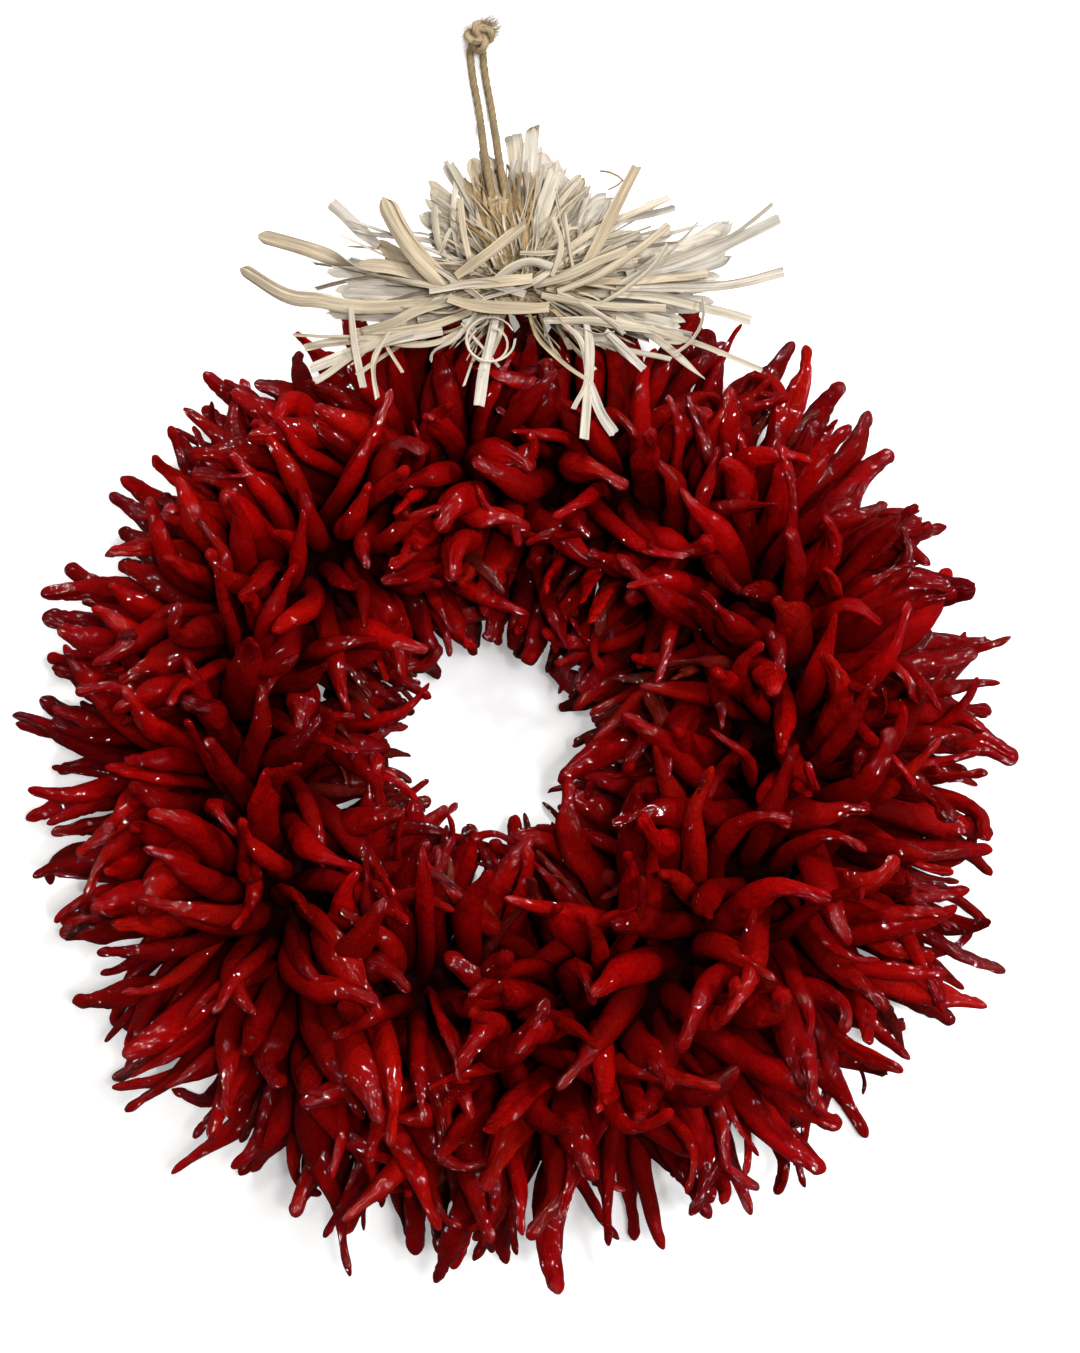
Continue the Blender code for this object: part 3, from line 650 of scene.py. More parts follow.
def chili_layout():
    """Middle lines, half-widths, face angles and the number of main chilies, which come first."""
    groups = [rows_of_chilies(*group) for group in (
        (MAIN_ROWS, MAIN_SHARE, MAIN_SEED),
        (spaced_rows(*FILL_ROWS), FILL_SHARE, FILL_SEED),
        (spaced_rows(*BACK_ROWS), BACK_SHARE, BACK_SEED))]
    lines, girths, faces = (np.concatenate(parts) for parts in zip(*groups))
    return settle(lines, girths), girths, faces, len(groups[0][0])


# ---------------------------------------------------------------------------------------------
# The chilies' skins
# ---------------------------------------------------------------------------------------------

SKIN_SEED = 71
# How each kind has dried. Pairs are ranges for a random draw:
#   belly, pinch  shares of the length where it starts to taper and where the thin tip starts
#   neck          half-width of the tip, as a share of the greatest
#   flat          how flattened its section is
#   folds         depth of the lengthwise folds at the tip, as a share of the half-width
#   body          share of that depth on the body
#   hook          how far the tip turns, in radians
#   kink          a sharp turn at the pinch, in radians
#   gloss         the most lacquer that the body may have besides the tip's
#   ridges        how short the lacquer's creases are: the less, the longer they run
CHILI_KINDS = {
    "chilies_plump": {
        "belly": (0.50, 0.70), "pinch": (0.98, 1.10), "neck": (0.24, 0.40), "flat": (0.02, 0.16),
        "folds": (0.16, 0.36), "body": 0.05, "hook": (0.0, 0.7), "kink": (-0.2, 0.2),
        "gloss": 0.35, "ridges": 0.7},
    "chilies_slender": {
        "belly": (0.48, 0.68), "pinch": (1.00, 1.14), "neck": (0.26, 0.42), "flat": (0.05, 0.30),
        "folds": (0.26, 0.55), "body": 0.45, "hook": (0.0, 0.6), "kink": (-0.3, 0.3),
        "gloss": 0.9, "ridges": 0.22},
    "chilies_wrinkled": {
        "belly": (0.52, 0.68), "pinch": (0.82, 0.98), "neck": (0.32, 0.48), "flat": (0.08, 0.34),
        "folds": (0.30, 0.58), "body": 0.18, "hook": (0.1, 0.8), "kink": (-0.4, 0.4),
        "gloss": 0.6, "ridges": 0.7},
    "chilies_flattened": {
        "belly": (0.52, 0.74), "pinch": (0.94, 1.08), "neck": (0.24, 0.40), "flat": (0.36, 0.60),
        "folds": (0.30, 0.60), "body": 0.5, "hook": (0.1, 0.8), "kink": (-0.4, 0.4),
        "gloss": 0.7, "ridges": 0.35},
    "chilies_curled": {
        "belly": (0.48, 0.64), "pinch": (0.84, 0.98), "neck": (0.30, 0.44), "flat": (0.05, 0.26),
        "folds": (0.26, 0.55), "body": 0.15, "hook": (0.9, 1.9), "kink": (-0.6, 0.6),
        "gloss": 0.35, "ridges": 0.7},
    "chilies_back": {
        "belly": (0.44, 0.64), "pinch": (0.90, 1.06), "neck": (0.26, 0.42), "flat": (0.15, 0.50),
        "folds": (0.40, 0.75), "body": 0.5, "hook": (0.0, 0.9), "kink": (-0.5, 0.5),
        "gloss": 0.2, "ridges": 0.35},
}
# Deep, lit and warm red: of most kinds, and of those that differ
REDS = ((0.044, 0.0002, 0.0003), (0.235, 0.0006, 0.0006), (0.26, 0.0030, 0.0008))
OTHER_REDS = {
    "chilies_back": ((0.036, 0.0018, 0.0016), (0.12, 0.0040, 0.0030), (0.16, 0.0150, 0.0050)),
    "chilies_slender": ((0.050, 0.0004, 0.0008), (0.25, 0.0012, 0.0016), (0.25, 0.0035, 0.0020))}
# Each kind's share of the chilies that stand on the ring's face, and round its rim and its hole
FACE_KINDS = (("chilies_plump", 0.46), ("chilies_wrinkled", 0.28), ("chilies_flattened", 0.08),
              ("chilies_curled", 0.18))
RIM_KINDS = (("chilies_slender", 0.52), ("chilies_wrinkled", 0.26), ("chilies_flattened", 0.12),
             ("chilies_curled", 0.10))
RIM_FACE = 24                           # face angle below which a chili counts as the rim's
HOLE_FACE = 170                         # face angle above which it counts as the hole's
BACK_FACE = -12                         # face angle below which it is one of the back's
# Mesh (rings and sides), and girth and length over the solid's: the main, lesser and back chilies
BUILDS = (((34, 20), 0.86, 1.06), ((26, 13), 0.82, 1.04), ((20, 10), 0.78, 0.96))
TIP_CROWD = 1.55                        # crowds the rings towards the tip
UNEVEN_GROWTH = 0.035                   # spread of the length
HEAVY_GROWTH = 0.05                     # more of it on the heavy side, less opposite
GIRTH_SPREAD = (0.68, 1.12)             # of each chili's girth, drawn over its solid's
FALL = (0.0, 0.45)                      # how far a standing chili leans over, in radians
LEAST_SKIN_CLEAR = 0.3 * MM             # between a chili's skin and the table

CLEAR_SHIFT = (-1.4 * MM, -6.0 * MM)    # the free middle of the shown chilies, from the hole's centre
CLEAR_HOLE = 33.0 * MM                  # its radius
CLEAR_RAGGED = 6.0 * MM                 # how far its edge varies
LEAST_SHARE = 0.5                       # the least that is left of a chili that reaches over it

# Chilies low in the ring that close the gaps between the others: face angle and pieces
FILLER_ROWS = ((4, 50), (148, 26), (168, 20))
FILLER_SHARE = 0.86
FILLER_SEED = 67
# Tips of the chilies under the bow's waist, in mm from the hole's centre
UNDER_BOW = ((-50, 152), (-38, 155), (-26, 156), (-13, 163), (-2, 167), (8, 165), (17, 168), (29, 160),
             (40, 154), (51, 153), (61, 151), (71, 147))
UNDER_GIRTH = 6.2 * MM
# Short chilies close round the hole, from below: height, pieces and the row's start. The top row is
# made like the lesser chilies, and the others like the back's.
LINING_ROWS = ((12 * MM, 28, 0.0), (23 * MM, 26, 0.5), (36 * MM, 24, 0.2))
LINING_REACH = 5.5 * MM                 # how far their tips vary from the free middle's edge
LINING_LENGTH = 38 * MM
LINING_GIRTH = 6.6 * MM


def chilies_under_bow():
    """Middle lines of a few chilies that close the gap below the bow's waist."""
    roots = np.array([from_hole((0.8 * x, 106, 24)) for x, _ in UNDER_BOW])
    tips = np.array([from_hole((x, y, 36)) for x, y in UNDER_BOW])
    return roots[:, None] + (tips - roots)[:, None] * np.linspace(0, 1, CHAIN)[None, :, None]


def chilies_round_hole():
    """Middle lines of the short chilies that point straight at the hole, close round its edge."""
    lines = []
    back = np.linspace(1, 0, CHAIN)[:, None]
    for height, count, start in LINING_ROWS:
        middle = np.array((HOLE_CENTRE[0] + CLEAR_SHIFT[0], HOLE_CENTRE[1] + CLEAR_SHIFT[1], height))
        for number in range(count):
            around = math.tau * (number + start + 0.22 * math.sin(5.1 * number)) / count
            outwards = np.array((math.cos(around), math.sin(around), 0))
            aside = np.array((-outwards[1], outwards[0], 0)) * 0.16 * math.sin(3.7 * number)
            rise = np.array((0, 0, 6 * MM)) * math.sin(2.3 * number)
            tip = CLEAR_HOLE + LINING_REACH * math.sin(2.9 * number + height / MM)
            lines.append(middle + tip * outwards + LINING_LENGTH * back * (outwards + aside)
                         + rise * (1 - back))
    return np.array(lines)


def drawn(rng, span, count):
    """Random numbers in a range."""
    return rng.uniform(*span, count)


def grown(lines, growth, rng):
    """The middle lines lengthened about their stem ends, each a little differently."""
    out = lines[:, -1, :2] - np.array(ring_centre())
    around = np.arctan2(out[:, 1], out[:, 0])
    growth = growth * rng.normal(1, UNEVEN_GROWTH, len(lines)) + HEAVY_GROWTH * np.cos(around - HEAVY_SIDE)
    return lines[:, :1] + (lines - lines[:, :1]) * growth[:, None, None]


def turned_steps(steps, axis, angle):
    """Steps (n, rings, 3) turned about one axis for each line by angles (n, rings)."""
    axis = np.broadcast_to(axis[:, None, :], steps.shape)
    cos, sin = np.cos(angle)[..., None], np.sin(angle)[..., None]
    dot = (steps * axis).sum(axis=2, keepdims=True)
    return steps * cos + np.cross(axis, steps) * sin + axis * dot * (1 - cos)


def bent_lines(lines, s, kind, rng):
    """Middle lines (n, rings, 3) with the kind's hooks, kinks and waves, and where they pinch."""
    count = len(lines)
    base = smooth_line(lines.transpose(1, 0, 2), s).transpose(1, 0, 2)
    steps = np.diff(base, axis=1)
    middle = 0.5 * (s[1:] + s[:-1])[None, :]
    pinch = drawn(rng, kind["pinch"], count)[:, None]
    hook = drawn(rng, kind["hook"], count)[:, None] * rng.choice((-1, 1), count)[:, None]
    kink = drawn(rng, kind["kink"], count)[:, None]
    wave = rng.uniform(0.04, 0.14, count)[:, None]
    turns = rng.uniform(1.5, 3.0, count)[:, None]
    phase = rng.uniform(0, 2 * np.pi, count)[:, None]
    angle = (hook * eased((middle - 0.50) / 0.50) ** 1.6 + kink * eased((middle - pinch + 0.10) / 0.14)
             + wave * np.sin(2 * np.pi * turns * middle + phase))
    ahead = unit(lines[:, -1] - lines[:, 0])
    axis = unit(np.cross(ahead, rng.normal(0, 1, (count, 3))))
    steps = turned_steps(steps, axis, angle)
    standing = np.clip(ahead[:, 2], 0, 1)[:, None]
    fall = rng.uniform(*FALL, (count, 1)) * standing * eased(middle / 0.5)
    upward = np.array((0.0, 0.0, 1.0)) + 0.05 * rng.normal(0, 1, (count, 3))
    steps = turned_steps(steps, unit(np.cross(upward, ahead)), fall)
    return np.concatenate((base[:, :1], base[:, :1] + np.cumsum(steps, axis=1)), axis=1), pinch


def out_of_hole(centres, width, s):
    """The middle lines shortened, and bent outwards where need be, to end at the middle hole's edge."""
    middle = np.array(HOLE_CENTRE) + np.array(CLEAR_SHIFT)
    edge = CLEAR_HOLE + CLEAR_RAGGED * np.sin(np.arange(len(centres)) * 2.4)[:, None]
    distance = np.linalg.norm(centres[..., :2] - middle, axis=2)
    inside = distance < edge + 0.3 * width
    share = np.where(inside.any(axis=1), np.maximum(s[inside.argmax(axis=1)], LEAST_SHARE), 1.0)
    places = 1 - (1 - s * share[:, None]) ** (1 / TIP_CROWD)
    centres = np.array([smooth_line(line, place) for line, place in zip(centres, places)])
    from_middle = centres[..., :2] - middle
    distance = np.maximum(np.linalg.norm(from_middle, axis=2), 1e-6)
    short = np.maximum.accumulate(np.clip(edge + 0.3 * width - distance, 0, None), axis=1)
    centres[..., :2] += from_middle * (short / distance)[..., None]
    return centres


def widths_along(s, kind, pinch, rng):
    """Half-width along each chili as a share of its greatest (n, rings)."""
    count = len(pinch)
    belly = drawn(rng, kind["belly"], count)[:, None]
    neck = drawn(rng, kind["neck"], count)[:, None]
    nub = rng.uniform(0.0, 0.10, count)[:, None]
    shoulder = 0.60 + 0.40 * np.sin(0.5 * np.pi * np.clip(s / 0.22, 0, 1))
    body = shoulder * (1 - (1 - neck) * eased((s - belly) / (pinch - belly)))
    body = body + nub * np.exp(-((s - 0.955) / 0.03) ** 2)
    body = body * (1 + 0.13 * value_noise(stacked(s * 5, rng.uniform(0, 90, (count, 1)), 0.5), 9))
    round_end = np.sqrt(np.clip(1 - (np.clip(s - 0.955, 0, None) / 0.047) ** 2, 0.02, 1))
    return body * round_end


def skin_relief(place, s, around, kind, rng):
    """The half-width's share that folds, puckers and a dent leave, for places on the skin."""
    count = len(place)
    along = s[None, :, None]
    folds = drawn(rng, kind["folds"], count)[:, None, None]
    lengthwise = value_noise(place * (210, 210, 60), 3)
    cross = value_noise(place * (330, 330, 300), 5)
    slow = value_noise(place * (70, 70, 60), 7)
    deep = folds * (kind["body"] + (1 - kind["body"]) * eased((along - 0.50) / 0.40))
    crease = deep * (1.5 * np.abs(lengthwise) - 0.3)
    pucker = 0.7 * deep * (0.35 - 1.1 * np.sqrt(np.abs(cross)))
    dent_at = rng.uniform(0, 2 * np.pi, (count, 1, 1))
    dent_from = rng.uniform(0.2, 0.7, (count, 1, 1))
    dent = rng.uniform(0.0, 0.34, (count, 1, 1)) + 0.3 * folds
    wrapped = np.angle(np.exp(1j * (around - dent_at)))
    trough = dent * np.exp(-(wrapped / 0.6) ** 2) * np.exp(-((along - dent_from) / 0.22) ** 2)
    return np.clip(1 - crease - pucker - trough + 0.10 * slow, 0.25, 1.4)


def skins(lines, girths, kind, mesh_size, rng):
    """Surface points (n, rings, sides, 3), the place on the skin and the share of the length."""
    rings, sides = mesh_size
    count = len(lines)
    s = 1 - (1 - np.linspace(0, 1, rings)) ** TIP_CROWD
    lengths = np.linalg.norm(np.diff(lines, axis=1), axis=2).sum(axis=1)
    centres, pinch = bent_lines(lines, s, kind, rng)
    width = girths[:, None] * widths_along(s, kind, pinch, rng)
    centres = out_of_hole(centres, width, s)
    across, over = carried_frames(centres, rng.normal(0, 1, (count, 3)))
    around = angles_round(sides)

    turn = rng.uniform(0, np.pi, (count, 1, 1)) + rng.uniform(-1.6, 1.6, (count, 1, 1)) * s[None, :, None]
    flat = drawn(rng, kind["flat"], count)[:, None, None] * (0.55 + 0.45 * eased(s / 0.5))[None, :, None]
    wide, thin = 1 + 0.50 * flat, 1 - flat
    oval = 1 / np.sqrt((np.cos(around - turn) / wide) ** 2 + (np.sin(around - turn) / thin) ** 2)

    girth = girths[:, None, None]
    place = stacked(girth * np.cos(around), girth * np.sin(around), (lengths[:, None] * s)[:, :, None])
    place = place + rng.uniform(0, 1, (count, 1, 1, 3))
    radius = width[:, :, None] * oval * skin_relief(place, s, around, kind, rng)
    points = centres[:, :, None, :] + radius[..., None] * spokes(around, across, over)
    lowest = points[..., 2].min(axis=2, keepdims=True)
    points[..., 2] += np.maximum(LEAST_SKIN_CLEAR - lowest, 0)
    return points, place, s


def kinds_for(faces, back, rng):
    """Each chili's kind, drawn by where it stands on the ring."""
    names = []
    for face, behind in zip(faces, back):
        kinds, shares = zip(*(RIM_KINDS if face < RIM_FACE or face > HOLE_FACE else FACE_KINDS))
        names.append("chilies_back" if behind else rng.choice(kinds, p=shares))
    return np.array(names)


def all_chilies():
    """Middle lines, half-widths and face angles of all the chilies, and each one's row in BUILDS."""
    lines, girths, faces, mains = chili_layout()
    more_lines, more_girths, more_faces = rows_of_chilies(FILLER_ROWS, FILLER_SHARE, FILLER_SEED)
    keep_clear(more_lines.reshape(-1, 3), np.repeat(more_girths, CHAIN), HOLE_RADIUS)
    under, lining = chilies_under_bow(), chilies_round_hole()
    build = np.where(faces < BACK_FACE, 2, 1)
    build[:mains] = 0
    added = np.full(len(more_lines) + len(under) + len(lining), 2)
    added[-LINING_ROWS[-1][1]:] = 1
    return (np.concatenate((lines, more_lines, under, lining)),
            np.concatenate((girths, more_girths, np.full(len(under), UNDER_GIRTH),
                            np.full(len(lining), LINING_GIRTH))),
            np.concatenate((faces, more_faces, np.zeros(len(under) + len(lining)))),
            np.concatenate((build, added)))


def build_kind(name, lines, girths, build, rng):
    """One kind's chilies as a piece."""
    kind = CHILI_KINDS[name]
    batch = Batch()
    for number, (mesh_size, plump, growth) in enumerate(BUILDS):
        mine = build == number
        count = mine.sum()
        if count == 0:
            continue
        girth = plump * girths[mine] * rng.uniform(*GIRTH_SPREAD, count)
        points, place, s = skins(grown(lines[mine], growth, rng), girth, kind, mesh_size, rng)
        shade = rng.beta(1.5, 1.9, (count, 1, 1))
        warmth = np.clip(rng.normal(0.1, 0.4, (count, 1, 1)), 0, 1)
        gloss = kind["gloss"] * rng.uniform(0, 1, (count, 1, 1)) ** 1.6
        batch.add(points, skin=place, shade=shade, warmth=warmth, gloss=gloss, tip=s[None, :, None])
    finish = chili_finish(name, OTHER_REDS.get(name, REDS), 0.5 + kind["folds"][1], kind["ridges"])
    return batch.make(name, finish)


def build_chilies():
    """All the chilies, one piece for each kind."""
    rng = np.random.default_rng(SKIN_SEED)
    lines, girths, faces, build = all_chilies()
    kinds = kinds_for(faces, build == 2, rng)
    for name in CHILI_KINDS:
        mine = kinds == name
        build_kind(name, lines[mine], girths[mine], build[mine], rng)


# ---------------------------------------------------------------------------------------------
# Inner core of the ring
# ---------------------------------------------------------------------------------------------

CORE_SHARE = 0.30                       # its half-width as a share of the reach
CORE_AROUND = 180                       # points round the ring
CORE_SECTION = 40                       # points round its section
CORE_CLEAR = 1.2 * MM                   # over the table


def build_core():
    """Packed stems and chili shoulders round the wire, in near-black painted shade, which only show as
    darkness in the gaps.
    """
    turn, face = np.meshgrid(angles_round(CORE_AROUND), angles_round(CORE_SECTION), indexing="ij")
    cx, cy = ring_centre()
    knobs = np.stack((24 * np.cos(turn), 24 * np.sin(turn), 3 * np.sin(face)), axis=-1) * 1.3
    knobs = knobs + 2 * np.cos(face)[..., None]
    lumpy = 1 + 0.16 * value_noise(knobs, 13) + 0.08 * value_noise(2.3 * knobs, 17)
    size = CORE_SHARE * local_reach(turn) * lumpy
    radius = RING_RADIUS + size * np.cos(face)
    height = np.maximum(RING_HEIGHT + size * np.sin(face), CORE_CLEAR)
    points = np.stack((cx + radius * np.cos(turn), cy + radius * np.sin(turn), height), axis=-1)
    index = np.arange(CORE_AROUND * CORE_SECTION).reshape(CORE_AROUND, CORE_SECTION)
    there = np.roll(index, -1, axis=0)
    quads = np.stack((index, there, np.roll(there, -1, axis=1), np.roll(index, -1, axis=1)), axis=-1)
    mesh = bpy.data.meshes.new("ring_core")
    mesh.from_pydata(points.reshape(-1, 3).tolist(), [], quads.reshape(-1, 4).tolist())
    mesh.shade_smooth()
    core = placed("ring_core", mesh, painted_shade_core_finish())
    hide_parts("chilies")
    return core


# ---------------------------------------------------------------------------------------------
# The husk bow
# ---------------------------------------------------------------------------------------------

HUSK = 0.32 * MM                        # a strip's thickness
STRIP_STEP = 2.2 * MM                   # between rings along a strip
TAN_AND_SHADE_REACH = 24 * MM                        # how far from the waist the husk turns darker tan: partly its own golden brown, partly painted shade of the bow's crowded middle
WAIST_SEEN = (8.6 * MM, 166.9 * MM)     # where the view shows the waist, from the hole's centre
SEAT_CLEAR = 2.4 * MM                   # between a strip and the chilies that the bow lies on
SHARP = 50                              # edges of the husk over this angle (degrees) look crisp

# The strips that stand out, from the waist: points (x, y, height over the waist, mm) out to the tip,
# width (mm), tone (0 pale, 0.5 cream, 1 tan) and turns of twist
BOLD_STRIPS = (
    (((-24, 0, 8), (-49, 7, 9), (-64, 8, 9), (-78, 13, 8), (-98, 18.5, 5)), 5.6, 0.60, 0.5),
    (((-26, -6, 8), (-58, -8, 8), (-75, -5.6, 8), (-88, -3.5, 6), (-105, 6.5, 3)), 5.4, 0.58, 0.0),
    (((-24, -2, 10), (-30, 3, 12), (-38, 11, 14), (-45, 21, 14), (-51, 32.5, 12)), 7.2, 0.64, 0.0),
    (((-18, 4, 12), (-19, 9.5, 14), (-21, 19.5, 15), (-22.5, 33, 15)), 2.3, 0.58, 0.0),
    (((-24, 3.6, 15), (-12.5, 12, 18), (1.7, 23, 19)), 3.9, 0.72, 0.0),
    (((-38, -7.3, 13), (-32, -6.4, 14), (-25, -3.9, 15)), 2.4, 0.50, 0.1),
    (((-27, -4.8, 15), (-17, -7.3, 17), (0, -8.5, 18), (11, -8.1, 17)), 4.4, 0.68, 0.0),
    (((-14, -8, 12), (-21, -10.6, 12), (-33, -14.8, 12), (-46, -17, 11), (-62, -17.3, 9)), 3.0, 0.62, 0.0),
    (((-22, -5, 13), (-38, -9, 13), (-48, -14, 12), (-59, -17.5, 10)), 3.4, 0.58, 0.0),
    (((-12, -11, 11), (-29, -20.5, 11), (-42, -22, 11), (-54, -20.3, 11), (-71, -21, 9), (-80.5, -23, 6)),
     2.9, 0.52, 0.0),
    (((-29, -17, 12), (-50, -21, 12), (-63.5, -25.3, 11), (-78.5, -31.2, 8)), 3.9, 0.24, 0.0),
    (((-40, -17, 13), (-52, -21, 13), (-63, -26.5, 12), (-71, -32.4, 10), (-77, -36, 9)), 3.0, 0.34, 0.1),
    (((-60, -19, 13), (-72, -19, 12), (-85, -18.5, 9)), 1.1, 0.5, 0.0),
    (((-63.5, -8, 12), (-62, -22, 14), (-58.8, -38, 13)), 2.6, 0.22, 0.0),
    (((-49, -17, 13), (-54.3, -26, 14), (-55.2, -33, 14), (-53.6, -42, 13)), 2.2, 0.40, 0.2),
    (((-52, -19, 12), (-48, -26, 12), (-44, -32.5, 11)), 1.2, 0.6, 0.0),
    (((-15, -8, 13), (-23, -19, 14), (-32, -24.5, 14), (-33.5, -28.5, 13)), 2.0, 0.18, 0.2),
    (((-22, -14, 14), (-14, -23, 14), (-8, -30.5, 13)), 1.0, 0.4, 0.0),
    (((-8, -6, 13), (-11, -20, 15), (-13.3, -31, 15), (-15.5, -44.5, 15)), 3.9, 0.06, 0.0),
    (((25, -14, 13), (26, -22, 15), (26, -35, 17), (24.3, -57.5, 18)), 3.5, 0.22, 0.0),
    (((14, -12, 12), (23, -21, 14), (24.7, -35, 16), (20, -46, 16)), 2.1, 0.38, 0.2),
    (((26, -36, 16), (30, -47, 18), (35.5, -55.5, 18)), 3.7, 0.0, 0.0),
    (((32, -17, 13), (39, -24, 14), (46.3, -31.3, 13)), 3.1, 0.02, 0.0),
    (((9, -13, 13), (26, -13, 14), (39, -14.8, 13), (50.5, -16.6, 12)), 3.1, 0.42, 0.0),
    (((14, -3, 14), (20, -5.6, 14), (32.7, -13, 14), (38.6, -18.4, 12)), 2.7, 0.36, 0.2),
    (((20, -16, 12), (28, -19, 13), (35, -18.5, 12)), 3.6, 0.30, 0.1),
    (((8, -3.5, 14), (30, -7.3, 14), (54.5, -8.4, 11)), 2.8, 0.50, 0.0),
    (((22, 4, 12), (28.5, 14.5, 14), (36, 29.5, 13), (43.8, 44.5, 11)), 4.2, 0.74, 0.0),
    (((33, 36, 6), (38.6, 39.4, 8), (34, 42.4, 9), (30, 43, 9)), 0.8, 0.9, 0.0),
    (((-53, 15, 4), (-61, 22, 5), (-71, 31, 4)), 4.6, 0.06, 0.0),
    (((14, -2, 14), (28.5, 3.6, 15), (42.7, 12.8, 15), (55.6, 23, 13)), 3.1, 0.58, 0.0),
    (((5, 0, 15), (17.6, 3.6, 16), (30, 9.5, 16), (40.5, 13.4, 15)), 3.4, 0.60, 0.0),
    (((38, 1, 11), (51, 7.8, 12), (59.5, 16, 10), (67, 24.3, 8)), 2.7, 0.22, 0.3),
    (((29, -7.3, 14), (39.4, -1.4, 15), (49.4, 7, 14), (55.5, 15.5, 12)), 1.9, 0.46, 0.1),
    (((44, 5, 10), (65, 13, 9), (80, 19.5, 7), (94.3, 31, 3)), 2.8, 0.30, 0.2),
    (((40, 4, 9), (64, 9, 8), (80, 16.5, 6), (97.3, 25.2, 3)), 4.0, 0.04, 0.1),
    (((36, -1, 10), (60, -0.5, 9), (78, 0.3, 7), (98.6, 5, 3)), 3.5, 0.20, 0.0),
    (((34, -3, 11), (52, -4, 11), (70, -8.5, 9), (86.5, -13.2, 6)), 3.5, 0.34, 0.0),
    (((36, -12, 12), (55, -18, 12), (72, -23.5, 10), (90.6, -31.8, 6)), 2.1, 0.44, 0.1),
    (((68.3, -4, 12), (68.6, -13, 13), (64, -21, 13), (58, -25.4, 12)), 1.4, 0.34, 0.1),
    (((12, 3.6, 16), (15.6, 15, 17), (12.4, 25.6, 17)), 2.2, 0.50, 0.1),
    (((20, 6, 14), (18.4, 15, 15), (16.6, 27.4, 15)), 1.3, 0.46, 0.0),
    (((-12, 0, 16), (-4, 6, 18), (4, 9, 19), (12, 6.8, 17)), 3.3, 0.34, 0.1),
    (((-26, 0, 14), (-8, 1.6, 18), (4.6, 2.8, 18)), 4.0, 0.62, 0.0),
    (((0, 12.4, 16), (8, 12.2, 16), (15.4, 12.8, 15)), 1.8, 0.50, 0.0),
    (((-34, -2, 14), (-14, 1, 17), (2, -3, 17)), 2.8, 0.30, 0.1),
    (((-32, 7, 12), (-18, -2, 15), (-6, -11, 14)), 2.4, 0.34, 0.2),
    (((16, 9, 14), (2, 0, 17), (-18, -6, 15)), 2.2, 0.38, 0.2),
)

# Seeded shreds: tip directions (degrees), tip distances (mm), pieces, widths (mm) and tones
SHREDS = (
    ((158, 184), (46, 80), 10, (1.0, 2.8), (0.05, 0.6)),
    ((184, 208), (38, 76), 16, (1.2, 3.2), (0.2, 0.7)),
    ((-28, 4), (44, 84), 17, (1.2, 3.2), (0.15, 0.65)),
    ((4, 34), (42, 74), 15, (1.2, 3.4), (0.05, 0.55)),
    ((212, 248), (26, 44), 9, (0.8, 2.2), (0.1, 0.6)),
    ((294, 326), (26, 46), 10, (0.8, 2.2), (0.1, 0.6)),
)
